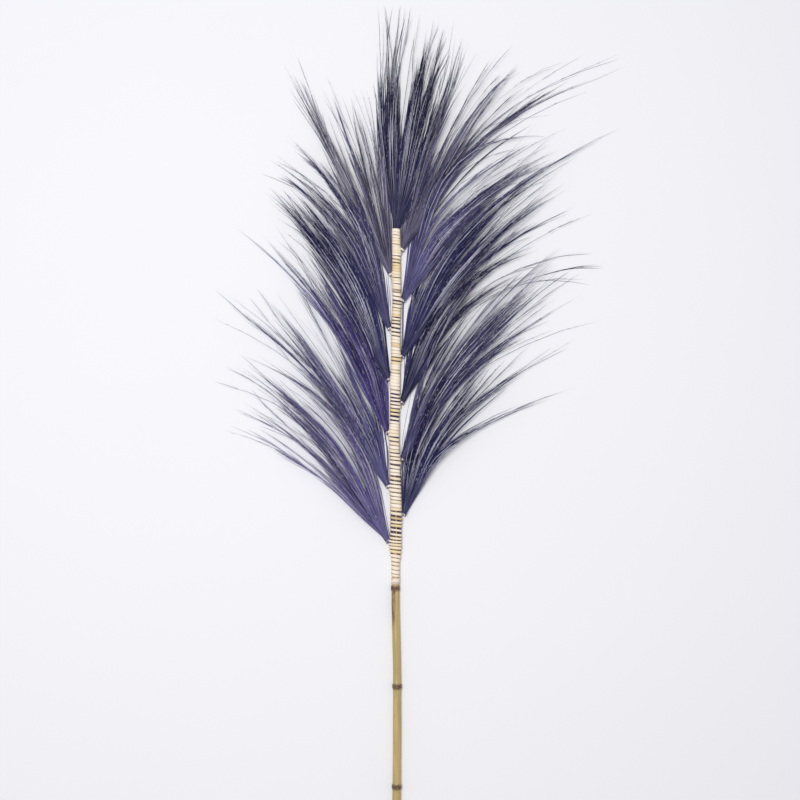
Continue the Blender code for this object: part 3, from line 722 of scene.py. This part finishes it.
def raffia_group():
    """Colour and fibres of a raffia strip. The map's u runs along a turn, and v times Turns counts turns."""
    name = "Raffia strip"
    if name in bpy.data.node_groups:
        return bpy.data.node_groups[name]
    group, given, out = new_group(
        name,
        (("Vector", "Map", (0, 0, 0)), ("Float", "Turns", 1.0), ("Color", "Pale", (0, 0, 0, 1)),
         ("Color", "Golden", (0, 0, 0, 1)), ("Color", "Brown", (0, 0, 0, 1)), ("Float", "Stain", 0.3)),
        (("Color", "Color"), ("Float", "Roughness"), ("Float", "Height")))
    split = group.nodes.new("ShaderNodeSeparateXYZ")
    link(group, given["Map"], split.inputs[0])
    place = math_node(group, "MULTIPLY", split.outputs[1], given["Turns"])
    turn = math_node(group, "FLOOR", place)
    inside = math_node(group, "FRACT", place)
    join = group.nodes.new("ShaderNodeCombineXYZ")
    link(group, split.outputs[0], join.inputs[0])
    link(group, place, join.inputs[1])
    random_turn = group.nodes.new("ShaderNodeTexWhiteNoise")
    random_turn.noise_dimensions = "1D"
    link(group, turn, random_turn.inputs["W"])
    luck = random_turn.outputs["Value"]
    fibre = noise(group, join.outputs[0], (2.5, 22.0, 1.0), detail=4.0, roughness=0.65)
    cloud = noise(group, join.outputs[0], (3.0, 0.9, 1.0), detail=2.0)
    zone = noise(group, join.outputs[0], (0.2, 0.11, 1.0), detail=1.0)
    golden = math_node(group, "ADD", zone, math_node(group, "MULTIPLY", luck, 0.3))
    shade = mix_colours(group, ranged(group, golden, 0.6, 0.85), given["Pale"], given["Golden"])
    shade = mix_colours(group, ranged(group, cloud, 0.5, 0.8, 0.0, 0.5), shade, given["Golden"])
    shade = mix_colours(group, ranged(group, luck, 0.93, 0.97, 0.0, 0.55), shade, given["Brown"])
    # Painted shade: each turn darkens to brown towards its edges, standing in for the shade on its rounded
    # sides.
    off_strip_middle = math_node(group, "ABSOLUTE", math_node(group, "SUBTRACT", inside, 0.5))
    edge = ranged(group, off_strip_middle, 0.3, 0.5, 0.0, 0.6, smooth_step=True)
    shade = mix_colours(group, edge, shade, given["Brown"])
    dark_fibre = math_node(group, "MULTIPLY", ranged(group, fibre, 0.5, 0.75), given["Stain"])
    shade = mix_colours(group, dark_fibre, shade, given["Brown"])
    link(group, shade, out["Color"])
    link(group, ranged(group, fibre, 0.3, 0.7, 0.5, 0.75), out["Roughness"])
    link(group, fibre, out["Height"])
    return group


def raffia_material(name, turns, pale, golden, brown, stain):
    material, tree, shader = new_material(name)
    made = place_group(tree, shader, raffia_group(), {
        "Map": map_of(tree), "Turns": float(turns), "Pale": (*pale, 1), "Golden": (*golden, 1),
        "Brown": (*brown, 1), "Stain": stain})
    add_bump(tree, shader, made["Height"], 0.5, 0.0004)
    return material


def cane_material(settings):
    """Olive and golden bamboo with fine lengthwise streaks, brown stains and dark node rings."""
    material, tree, shader = new_material("Bamboo")
    place = object_coordinates(tree)
    split = tree.nodes.new("ShaderNodeSeparateXYZ")
    link(tree, place, split.inputs[0])
    streak = noise(tree, place, (900.0, 14.0, 900.0), detail=4.0)
    cloud = noise(tree, place, (60.0, 9.0, 60.0), detail=3.0)
    speck = noise(tree, place, (500.0, 160.0, 500.0), detail=2.0)
    shade = mix_colours(tree, ranged(tree, cloud, 0.35, 0.65), (*settings.olive, 1), (*settings.golden, 1))
    shade = mix_colours(tree, ranged(tree, streak, 0.45, 0.8, 0.0, 0.45), shade, (*settings.stain, 1))
    shade = mix_colours(tree, ranged(tree, speck, 0.66, 0.74, 0.0, 0.5), shade, (*settings.stain, 1))
    low_y, high_y = (to_frame((0.0, y, 0.0))[1] for y in STAIN_YS)
    over = math_node(tree, "MULTIPLY", ranged(tree, split.outputs[1], low_y, low_y + 0.03),
                     ranged(tree, split.outputs[1], high_y + 0.012, high_y))
    left = ranged(tree, split.outputs[0], to_frame((0.5, 0.0, 0.0))[0], to_frame((-2.5, 0.0, 0.0))[0])
    stained = math_node(tree, "MULTIPLY", over, left)
    blotch = noise(tree, place, (220.0, 50.0, 220.0), detail=3.0)
    blot = math_node(tree, "MULTIPLY", stained, ranged(tree, blotch, 0.35, 0.55, 0.35, 1.0))
    shade = mix_colours(tree, blot, shade, (*settings.node_brown, 1))
    ring = None
    for y in NODE_YS:
        node_y = to_frame((0.0, y, 0.0))[1]
        off = math_node(tree, "ABSOLUTE", math_node(tree, "SUBTRACT", split.outputs[1], node_y))
        near = ranged(tree, off, 0.0065, 0.0015, 0.0, 1.0, smooth_step=True)
        ring = near if ring is None else math_node(tree, "MAXIMUM", ring, near)
    fleck = noise(tree, place, (700.0, 500.0, 700.0), detail=3.0)
    patch = math_node(tree, "MULTIPLY", ring, ranged(tree, fleck, 0.35, 0.5, 0.5, 1.0))
    shade = mix_colours(tree, math_node(tree, "MULTIPLY", patch, 0.97), shade, (*settings.node_brown, 1))
    link(tree, shade, shader.inputs["Base Color"])
    link(tree, ranged(tree, streak, 0.3, 0.8, 0.32, 0.6), shader.inputs["Roughness"])
    add_bump(tree, shader, streak, 0.25, 0.0003)
    return material


def plain_material(name, colour, roughness):
    material, tree, shader = new_material(name)
    grain = noise(tree, object_coordinates(tree), (6.0, 6.0, 6.0), detail=2.0)
    shade = mix_colours(tree, ranged(tree, grain, 0.3, 0.7, 0.0, 0.04), (*colour, 1), (
        colour[0] * 0.9, colour[1] * 0.9, colour[2] * 0.9, 1))
    link(tree, shade, shader.inputs["Base Color"])
    shader.inputs["Roughness"].default_value = roughness
    return material


def finish_piece(obj, material, slot_name, *nodes):
    """Gives a piece its material and body, and hides the CAD nodes that it stands for."""
    obj.data.materials.append(material)
    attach(obj, BODY)
    if nodes:
        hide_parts(*nodes)


class RAYUNG_PG_cane(bpy.types.PropertyGroup):
    """Colours of the bamboo cane."""

    sides: bpy.props.IntProperty(
        name="Sides", description="Faces round the cane", default=32, min=8, max=96)
    olive: bpy.props.FloatVectorProperty(
        name="Olive", description="Greener colour of the bamboo", default=(0.44, 0.35, 0.13),
        subtype="COLOR", min=0, max=1)
    golden: bpy.props.FloatVectorProperty(
        name="Golden", description="Yellower colour of the bamboo", default=(0.68, 0.46, 0.19),
        subtype="COLOR", min=0, max=1)
    stain: bpy.props.FloatVectorProperty(
        name="Stain", description="Colour of streaks and specks", default=(0.20, 0.11, 0.06),
        subtype="COLOR", min=0, max=1)
    node_brown: bpy.props.FloatVectorProperty(
        name="Node brown", description="Colour of the node rings", default=(0.085, 0.038, 0.02),
        subtype="COLOR", min=0, max=1)


class RAYUNG_PG_raffia(bpy.types.PropertyGroup):
    """Sizes and colours of the raffia strip."""

    turns: bpy.props.IntProperty(
        name="Turns", description="Turns of the strip round the stem", default=98, min=20, max=160)
    strip_width: bpy.props.FloatProperty(
        name="Strip width", description="Width of the strip", default=0.0045, min=0.001, max=0.01,
        subtype="DISTANCE", unit="LENGTH")
    pale: bpy.props.FloatVectorProperty(
        name="Pale", description="Usual colour of the raffia", default=(0.97, 0.86, 0.70),
        subtype="COLOR", min=0, max=1)
    golden: bpy.props.FloatVectorProperty(
        name="Golden", description="Colour of the yellower turns", default=(0.86, 0.68, 0.36),
        subtype="COLOR", min=0, max=1)
    # Brown also paints the shade at the edges of each turn.
    brown: bpy.props.FloatVectorProperty(
        name="Brown", description="Colour of the strip's edges and dark fibres", default=(0.24, 0.14, 0.09),
        subtype="COLOR", min=0, max=1)


class RAYUNG_PG_tufts(bpy.types.PropertyGroup):
    """Numbers and sizes of the grass fibres."""

    wisps: bpy.props.IntProperty(
        name="Wisps", description="Wisps of strands in a usual tuft", default=124, min=10, max=600)
    strands_a_wisp: bpy.props.IntProperty(
        name="Strands a wisp", description="Long strands in a wisp", default=4, min=1, max=20)
    branchlets: bpy.props.IntProperty(
        name="Branchlets", description="Fine side shoots in a usual tuft", default=300, min=0, max=4000)
    spikelets: bpy.props.IntProperty(
        name="Spikelets", description="Seed husks in a usual tuft", default=1500, min=0, max=6000)
    strand_radius: bpy.props.FloatProperty(
        name="Strand radius", description="Radius of a strand where it is thickest", default=0.00055,
        min=0.0001, max=0.002, subtype="DISTANCE", unit="LENGTH", precision=5)


class RAYUNG_PG_stage(bpy.types.PropertyGroup):
    """The floor and the camera."""

    floor_colour: bpy.props.FloatVectorProperty(
        name="Floor", description="Colour of the floor", default=(0.85, 0.85, 0.865),
        subtype="COLOR", min=0, max=1)
    camera_height: bpy.props.FloatProperty(
        name="Camera height", description="Height of the camera above the floor", default=3.0,
        min=0.5, max=10.0, subtype="DISTANCE", unit="LENGTH")
    view_width: bpy.props.FloatProperty(
        name="View width", description="Width of the floor that the camera sees", default=1.2,
        min=0.2, max=4.0, subtype="DISTANCE", unit="LENGTH")
    view_centre: bpy.props.FloatVectorProperty(
        name="View centre", description="Place on the floor below the camera", default=(-0.019, 0.062),
        size=2, subtype="XYZ", unit="LENGTH")


def from_node(y):
    """How far a place on the cane is from the nearest node."""
    return min(abs(y - node) for node in NODE_YS)


def cane_profile():
    """(y, radius) rows down the cane, with a ridge, a groove and a lip at each node."""
    rows = [(y, float(cane_radius(y))) for y in np.arange(CUT_END_Y, CANE_TOP_Y, CANE_RING_STEP)]
    rows += [(CANE_TOP_Y, float(cane_radius(CANE_TOP_Y))), (CUT_END_Y + 0.5, float(cane_radius(CUT_END_Y)))]
    rows = [(y, r) for y, r in rows if from_node(y) > NODE_REACH]
    for node in NODE_YS:
        rows += [(node + y, float(cane_radius(node)) + rise) for y, rise in NODE_SHAPE]
    rows += [(CANE_TOP_Y + 0.6, float(cane_radius(CANE_TOP_Y)) * 0.7)]
    rows.sort()
    rim = float(cane_radius(CUT_END_Y))
    start = [(CUT_END_Y + LUMEN_DEPTH, LUMEN_RADIUS * 0.8), (CUT_END_Y + 1.0, LUMEN_RADIUS),
             (CUT_END_Y, LUMEN_RADIUS + 0.3), (CUT_END_Y, rim - 0.4)]
    return start + [row for row in rows if row[0] > CUT_END_Y]


class RAYUNG_OT_cane(bpy.types.Operator):
    """Makes the bamboo cane, turned from a circle drawn out row by row"""

    bl_idname = "rayung.cane"
    bl_label = "Bamboo cane"

    def execute(self, context):
        settings = context.scene.rayung_cane
        profile = cane_profile()
        deselect_all()
        bpy.ops.mesh.primitive_circle_add(vertices=settings.sides, radius=1.0, fill_type="NGON")
        obj = context.object
        obj.name = "bamboo_cane"
        bpy.ops.object.mode_set(mode="EDIT")
        bpy.ops.mesh.select_all(action="SELECT")
        for _ in profile[1:]:
            bpy.ops.mesh.extrude_region_move(TRANSFORM_OT_translate={"value": (0, 0, 1)})
        bpy.ops.mesh.select_all(action="SELECT")
        bpy.ops.object.mode_set(mode="OBJECT")
        for vertex in obj.data.vertices:
            y, radius = profile[round(vertex.co.z)]
            angle = math.atan2(vertex.co.y, vertex.co.x)
            wobble = 1 + 0.015 * math.sin(2 * angle + y * 0.013) + 0.01 * math.sin(y * 0.05)
            if from_node(y) < NODE_REACH:
                wobble = 1.0
            x = float(stem_x(y)) + radius * wobble * math.cos(angle)
            z = AXIS_HEIGHT + radius * wobble * math.sin(angle)
            vertex.co = Vector(to_frame((x, y, max(z, 0.05))))
        bpy.ops.object.mode_set(mode="EDIT")
        bpy.ops.mesh.normals_make_consistent(inside=False)
        bpy.ops.object.mode_set(mode="OBJECT")
        bpy.ops.object.shade_smooth_by_angle(angle=math.radians(50))
        finish_piece(obj, cane_material(settings), "cane", "cane")
        return {"FINISHED"}


def winding_bulge(y, side):
    """How far the winding swells on a side where a tuft's neck is bound in."""
    swell = 0.0
    for tuft in TUFTS.values():
        if tuft.side == side:
            off = (y - tuft.tie_y + NECK_SWELL_DROP) / NECK_SWELL_LENGTH
            swell = swell + NECK_SWELL * np.exp(-(off**2))
    return swell


def strip_mesh(name, template, path, outward, width, thickness, crown, steps_a_turn, turns):
    """Lays a strip along a path. On its map, u runs along each turn and v goes up by one step a turn."""
    points, corners, sizes = template
    steps = len(path) - 1
    place = (points[:, 0] + 0.5) * steps
    centre, normal = rows_at(path, place), rows_at(outward, place)
    side = rows_at(unit(np.cross(outward, np.gradient(path, axis=0))), place)
    wide = np.interp(place, np.arange(steps + 1), width)
    off = points[:, 1]
    placed = centre + side * (off * wide)[:, None]
    placed = placed + normal * (points[:, 2] * thickness + crown * (1 - 4 * off**2))[:, None]
    face_of = np.repeat(np.arange(len(sizes)), sizes)
    steps_of = place[corners]
    first = np.full(len(sizes), 1e9)
    np.minimum.at(first, face_of, steps_of)
    whole = np.floor(first[face_of] / steps_a_turn + 1e-6)
    across = (1 - 2 * TURN_MARGIN) * (off[corners] + 0.5)
    uvs = np.stack([steps_of / steps_a_turn - whole, (whole + TURN_MARGIN + across) / turns], axis=1)
    return make_mesh(name, to_frame(placed), corners, sizes, uvs)


class RAYUNG_OT_winding(bpy.types.Operator):
    """Makes the raffia strip that winds up the stem, and the dyed stalks bound under it"""

    bl_idname = "rayung.winding"
    bl_label = "Raffia winding"

    def execute(self, context):
        settings = context.scene.rayung_raffia
        rng = np.random.default_rng(SEED)
        steps_a_turn = 24
        turns = settings.turns
        steps = turns * steps_a_turn
        pitches = rng.normal(1.0, 0.16, turns) * np.linspace(1.12, 0.88, turns)
        ends = np.concatenate(([0.0], np.cumsum(pitches / pitches.sum())))
        turn = np.arange(steps + 1) / steps_a_turn
        strip = settings.strip_width / MM
        y = strip / 2 + (WINDING_TOP_Y - strip) * np.interp(turn, np.arange(turns + 1), ends)
        angle = 2 * math.pi * turn
        tilt = np.interp(turn, np.arange(turns + 1), rng.normal(0.0, 0.35, turns + 1))
        y = y + tilt * np.sin(angle)
        half_width, half_height = winding_inside(y)
        swell = np.where(np.cos(angle) < 0, winding_bulge(y, -1), winding_bulge(y, 1)) * np.abs(np.cos(angle))
        half_width = half_width + WALL * 0.8 + swell
        half_height = half_height + WALL * 0.8
        path = np.stack([stem_x(y) + half_width * np.cos(angle), y,
                         AXIS_HEIGHT + half_height * np.sin(angle)], axis=1)
        path[:, 2] = np.maximum(path[:, 2], 0.7)
        outward = np.stack([np.cos(angle), np.zeros(steps + 1), np.sin(angle)], axis=1)
        shares = rng.choice(STRIP_WIDTH_SHARES, turns + 1)
        width = strip * np.interp(turn, np.arange(turns + 1), shares)
        width = width * (1 + 0.14 * np.sin(turn * 0.31 + 1.0) * np.sin(turn * 0.11))

        obj = strip_mesh("raffia_winding_strip", strip_template(steps, 3), path, outward, width, 0.45, 0.3,
                         steps_a_turn, turns)
        material = raffia_material("Raffia", turns, settings.pale, settings.golden, settings.brown, 0.5)
        finish_piece(obj, material, "raffia", "raffia_winding")
        self.bound_stalks(rng)
        return {"FINISHED"}

    def bound_stalks(self, rng):
        """The stalks that show dark between the turns."""
        template = stem_template(24)
        points = template[0]
        count = BOUND_STALKS
        angle = 2 * math.pi * (np.arange(count) + rng.uniform(-0.3, 0.3, count)) / count
        low = rng.uniform(24.0, 44.0, count)
        high = rng.uniform(WINDING_TOP_Y - 14.0, WINDING_TOP_Y - 4.0, count)
        y = low[:, None] + (high - low)[:, None] * points[None, :, 2]
        turned = angle[:, None] + 0.25 * np.sin(y / 60.0 + angle[:, None] * 3)
        half_width, half_height = winding_inside(y)
        radius = BOUND_STALK_RADIUS
        x = stem_x(y) + (half_width - 0.5) * np.cos(turned) + radius * points[None, :, 0]
        z = AXIS_HEIGHT + (half_height - 0.7) * np.sin(turned) + radius * points[None, :, 1]
        heap = Heap()
        column = np.repeat(rng.uniform(0.0, 0.5, count)[:, None], len(points), axis=1)
        heap.add(template, np.stack([x, y, z], axis=-1), column, np.broadcast_to(points[None, :, 2], y.shape))
        obj = heap.make("bound_stalks")
        finish_piece(obj, grass_material("plum"), "grass_plum")


class RAYUNG_OT_collar(bpy.types.Operator):
    """Makes the smooth pale band of raffia under the winding"""

    bl_idname = "rayung.collar"
    bl_label = "Raffia collar"

    def execute(self, context):
        turns, steps_a_turn = 3, 32
        steps = turns * steps_a_turn
        turn = np.arange(steps + 1) / steps_a_turn
        strip = COLLAR_STRIP
        y = -COLLAR_LENGTH + strip / 2 + (COLLAR_LENGTH - 0.4 - strip) * turn / turns
        angle = 2 * math.pi * turn + 2.2
        radius = cane_radius(y) + CLEARANCE + 0.3 + 0.22 * turn
        path = np.stack([stem_x(y) + radius * np.cos(angle), y, AXIS_HEIGHT + radius * np.sin(angle)], axis=1)
        outward = np.stack([np.cos(angle), np.zeros(steps + 1), np.sin(angle)], axis=1)

        width = np.full(steps + 1, strip)
        obj = strip_mesh("raffia_collar_band", strip_template(steps, 3), path, outward, width, 0.3, 0.12,
                         steps_a_turn, turns)
        material = raffia_material("Raffia collar", turns, COLLAR_PALE, COLLAR_GOLDEN, COLLAR_BROWN, 0.25)
        finish_piece(obj, material, "collar", "raffia_collar")
        return {"FINISHED"}


class RAYUNG_OT_ties(bpy.types.Operator):
    """Makes the loop of raffia round each side tuft's neck"""

    bl_idname = "rayung.ties"
    bl_label = "Ties"

    def execute(self, context):
        settings = context.scene.rayung_raffia
        material = raffia_material("Raffia ties", 2, TIE_PALE, settings.pale, settings.brown, 0.3)
        template = strip_template(TIE_STEPS, 2)
        for number, (name, tuft) in enumerate(TUFTS.items()):
            if not tuft.side:
                continue
            rng = np.random.default_rng(SEED + 100 + number)
            place = tie_place(tuft)
            heading = heading_of(tuft)
            bend_y = tuft.tie_y - 7.0
            bend_x = float(stem_x(bend_y)) + tuft.side * (float(cane_radius(tuft.tie_y)) + 1.5)
            bend = np.array([bend_x, bend_y])
            along = place + heading * 5.0 - bend
            along = np.array([*(along / np.linalg.norm(along)), 0.0])
            across = np.array([along[1], -along[0], 0.0])
            up = np.array([0.0, 0.0, 1.0])
            turn = np.linspace(0.0, TIE_TURNS, TIE_STEPS + 1)
            angle = 2 * math.pi * turn + rng.uniform(0, 6.3)
            radius = TIE_RADIUS + TIE_RADIUS_GAIN * turn
            outward = across[None, :] * np.cos(angle)[:, None] + up[None, :] * np.sin(angle)[:, None]
            centre = np.array([place[0], place[1], AXIS_HEIGHT])
            slide = (turn - TIE_TURNS / 2) * 1.3 + 0.35 * np.sin(angle)
            path = centre + outward * radius[:, None] + along[None, :] * slide[:, None]

            width = TIE_STRIP * (1 - 0.3 * np.abs(turn / (TIE_TURNS / 2) - 1))
            obj = strip_mesh(name.replace("tuft", "tie") + "_loop", template, path, outward, width, 0.4, 0.2,
                             TIE_STEPS_A_TURN, 2)
            finish_piece(obj, material, "raffia", name.replace("tuft", "tie"))
        return {"FINISHED"}


class RAYUNG_OT_tufts(bpy.types.Operator):
    """Makes the thirteen tufts: strands, fine side shoots and seed husks along each lock"""

    bl_idname = "rayung.tufts"
    bl_label = "Grass tufts"

    def execute(self, context):
        settings = context.scene.rayung_tufts
        strand, branchlet, spikelet = stem_template(8), stem_template(3), spikelet_template()
        usual = np.mean([sum(lock.share for lock in tuft.locks) for tuft in TUFTS.values()])
        for number, (name, tuft) in enumerate(TUFTS.items()):
            size = sum(lock.share for lock in tuft.locks) / usual
            size = 0.25 + 0.75 * size
            rng = np.random.default_rng(SEED + number)
            fan = Fan(tuft, rng)
            heap = Heap()
            strands = fan.draw(round(settings.wisps * size), settings.strands_a_wisp)
            self.strands(fan, heap, strand, strands, settings.strand_radius / MM)
            self.shoots(fan, heap, branchlet, strands, round(settings.branchlets * size),
                        settings.strand_radius / MM)
            self.husks(fan, heap, spikelet, strands, round(settings.spikelets * size))
            obj = heap.make(name.replace("tuft", "grass"))
            finish_piece(obj, grass_material(tuft.tone), "grass_" + tuft.tone, name)
        return {"FINISHED"}

    def some_of(self, fan, strands, count):
        """Count strands drawn from those given, the long ones more often."""
        chance = strands["reach"] ** 2
        index = fan.rng.choice(len(chance), count, p=chance / chance.sum())
        return {key: value[index] for key, value in strands.items()}

    def columns_of(self, strands, vertices):
        """Each strand's column on the map, from its tone, for all of its vertices."""
        column = 0.02 + strands["tone"] * (SPIKELET_COLUMN - 0.06)
        return np.repeat(column[:, None], vertices, axis=1)

    def strands(self, fan, heap, template, strands, radius):
        count = len(strands["reach"])
        radii = radius * fan.rng.uniform(0.75, 1.2, count) * strands["girth"]
        placed, t = fan.tube(template, strands, np.full(count, -0.006), strands["reach"], radii)
        heap.add(template, placed, self.columns_of(strands, t.shape[1]), np.clip(t / MAP_REACH, 0.0, 1.0))

    def shoots(self, fan, heap, template, strands, count, radius):
        rng = fan.rng
        shoots = self.some_of(fan, strands, count)
        first = rng.uniform(0.3, 0.92, count) * shoots["reach"]
        last = np.minimum(first + rng.uniform(0.08, 0.22, count), 1.05)
        shoots["fork"] = rng.normal(0.0, SHOOT_SIDEWAYS, count)
        shoots["fork_up"] = rng.normal(0.0, SHOOT_UP, count)
        shoots["fork_at"] = first
        placed, t = fan.tube(template, shoots, first, last, np.full(count, radius * 0.5))
        heap.add(template, placed, self.columns_of(shoots, t.shape[1]), np.clip(t / MAP_REACH, 0.0, 1.0))

    def husks(self, fan, heap, template, strands, count):
        rng = fan.rng
        points = template[0]
        owners = self.some_of(fan, strands, count)
        owners["layer"] = owners["layer"] + rng.uniform(0.0, 0.6, count)
        at = (rng.uniform(0.4, 0.95, count) * owners["reach"])[:, None]
        centre = fan.centre(owners, at)[:, 0]
        ahead = unit(fan.centre(owners, at + STEP_AHEAD)[:, 0] - centre)
        ahead = unit(ahead + rng.normal(0.0, 0.13, (count, 3)))
        side = unit(np.cross(ahead, (0.0, 0.0, 1.0)))
        up = np.cross(side, ahead)
        length = rng.uniform(*HUSK_LENGTHS, count)
        fat = rng.uniform(*HUSK_RADII, count) * owners["girth"]
        placed = centre[:, None, :] + ahead[:, None, :] * (length[:, None] * points[None, :, 2])[:, :, None]
        placed = placed + side[:, None, :] * (fat[:, None] * points[None, :, 0])[:, :, None]
        placed = placed + up[:, None, :] * (fat[:, None] * points[None, :, 1])[:, :, None]
        placed[:, :, 2] = np.maximum(placed[:, :, 2], LEAST_FACE_HEIGHT)
        column = SPIKELET_COLUMN + (1 - SPIKELET_COLUMN) * rng.uniform(0.05, 0.95, count)
        columns = np.repeat(column[:, None], len(points), axis=1)
        heap.add(template, placed, columns, np.broadcast_to(at, columns.shape))


class RAYUNG_OT_stage(bpy.types.Operator):
    """Makes the pale floor, the soft lights and the camera that looks straight down"""

    bl_idname = "rayung.stage"
    bl_label = "Stage"

    def execute(self, context):
        settings = context.scene.rayung_stage
        deselect_all()
        bpy.ops.mesh.primitive_plane_add(size=FLOOR_SIZE)
        floor = context.object
        floor.name = "floor"
        floor.data.materials.append(plain_material("Pale floor", settings.floor_colour, 0.85))
        world = bpy.data.worlds.new("Soft room")
        world.use_nodes = True
        background = world.node_tree.nodes["Background"]
        background.inputs["Color"].default_value = ROOM_COLOUR
        background.inputs["Strength"].default_value = ROOM_STRENGTH
        context.scene.world = world
        context.scene.view_settings.view_transform = "Standard"
        self.soft_light("key_light", LIGHT_PLACE, LIGHT_SIZE, LIGHT_POWER)
        view = bpy.data.cameras.new("camera")
        view.lens = view.sensor_width * settings.camera_height / settings.view_width
        view.clip_end = 50.0
        camera = bpy.data.objects.new("camera", view)
        camera.location = (*settings.view_centre, settings.camera_height)
        context.scene.collection.objects.link(camera)
        context.scene.camera = camera
        return {"FINISHED"}

    def soft_light(self, name, place, size, power):
        light = bpy.data.lights.new(name, "AREA")
        light.size = size
        light.energy = power
        obj = bpy.data.objects.new(name, light)
        obj.location = place
        obj.rotation_mode = "QUATERNION"
        obj.rotation_quaternion = (-Vector(place)).to_track_quat("-Z", "Y")
        bpy.context.scene.collection.objects.link(obj)


class RAYUNG_PT_panel(bpy.types.Panel):
    """Lists the spray's pieces with their settings"""

    bl_idname = "RAYUNG_PT_panel"
    bl_label = "Rayung grass spray"
    bl_space_type = "VIEW_3D"
    bl_region_type = "UI"
    bl_category = "Rayung grass"

    def draw(self, context):
        for operator, settings in PIECES:
            box = self.layout.box()
            box.operator(operator.bl_idname)
            if settings:
                group = getattr(context.scene, settings)
                for name in group.__annotations__:
                    box.prop(group, name)


PIECES = (
    (RAYUNG_OT_cane, "rayung_cane"),
    (RAYUNG_OT_winding, "rayung_raffia"),
    (RAYUNG_OT_collar, None),
    (RAYUNG_OT_ties, None),
    (RAYUNG_OT_tufts, "rayung_tufts"),
    (RAYUNG_OT_stage, "rayung_stage"),
)
SETTINGS = {
    "rayung_cane": RAYUNG_PG_cane,
    "rayung_raffia": RAYUNG_PG_raffia,
    "rayung_tufts": RAYUNG_PG_tufts,
    "rayung_stage": RAYUNG_PG_stage,
}
CLASSES = (*SETTINGS.values(), *(operator for operator, _ in PIECES), RAYUNG_PT_panel)


def register():
    for made in CLASSES:
        bpy.utils.register_class(made)
    for name, group in SETTINGS.items():
        setattr(bpy.types.Scene, name, bpy.props.PointerProperty(type=group))


def unregister():
    for name in SETTINGS:
        delattr(bpy.types.Scene, name)
    for made in reversed(CLASSES):
        bpy.utils.unregister_class(made)


def main():
    register()
    bpy.ops.rayung.cane()
    bpy.ops.rayung.winding()
    bpy.ops.rayung.collar()
    bpy.ops.rayung.ties()
    bpy.ops.rayung.tufts()
    bpy.ops.rayung.stage()


if __name__ == "__main__":
    main()
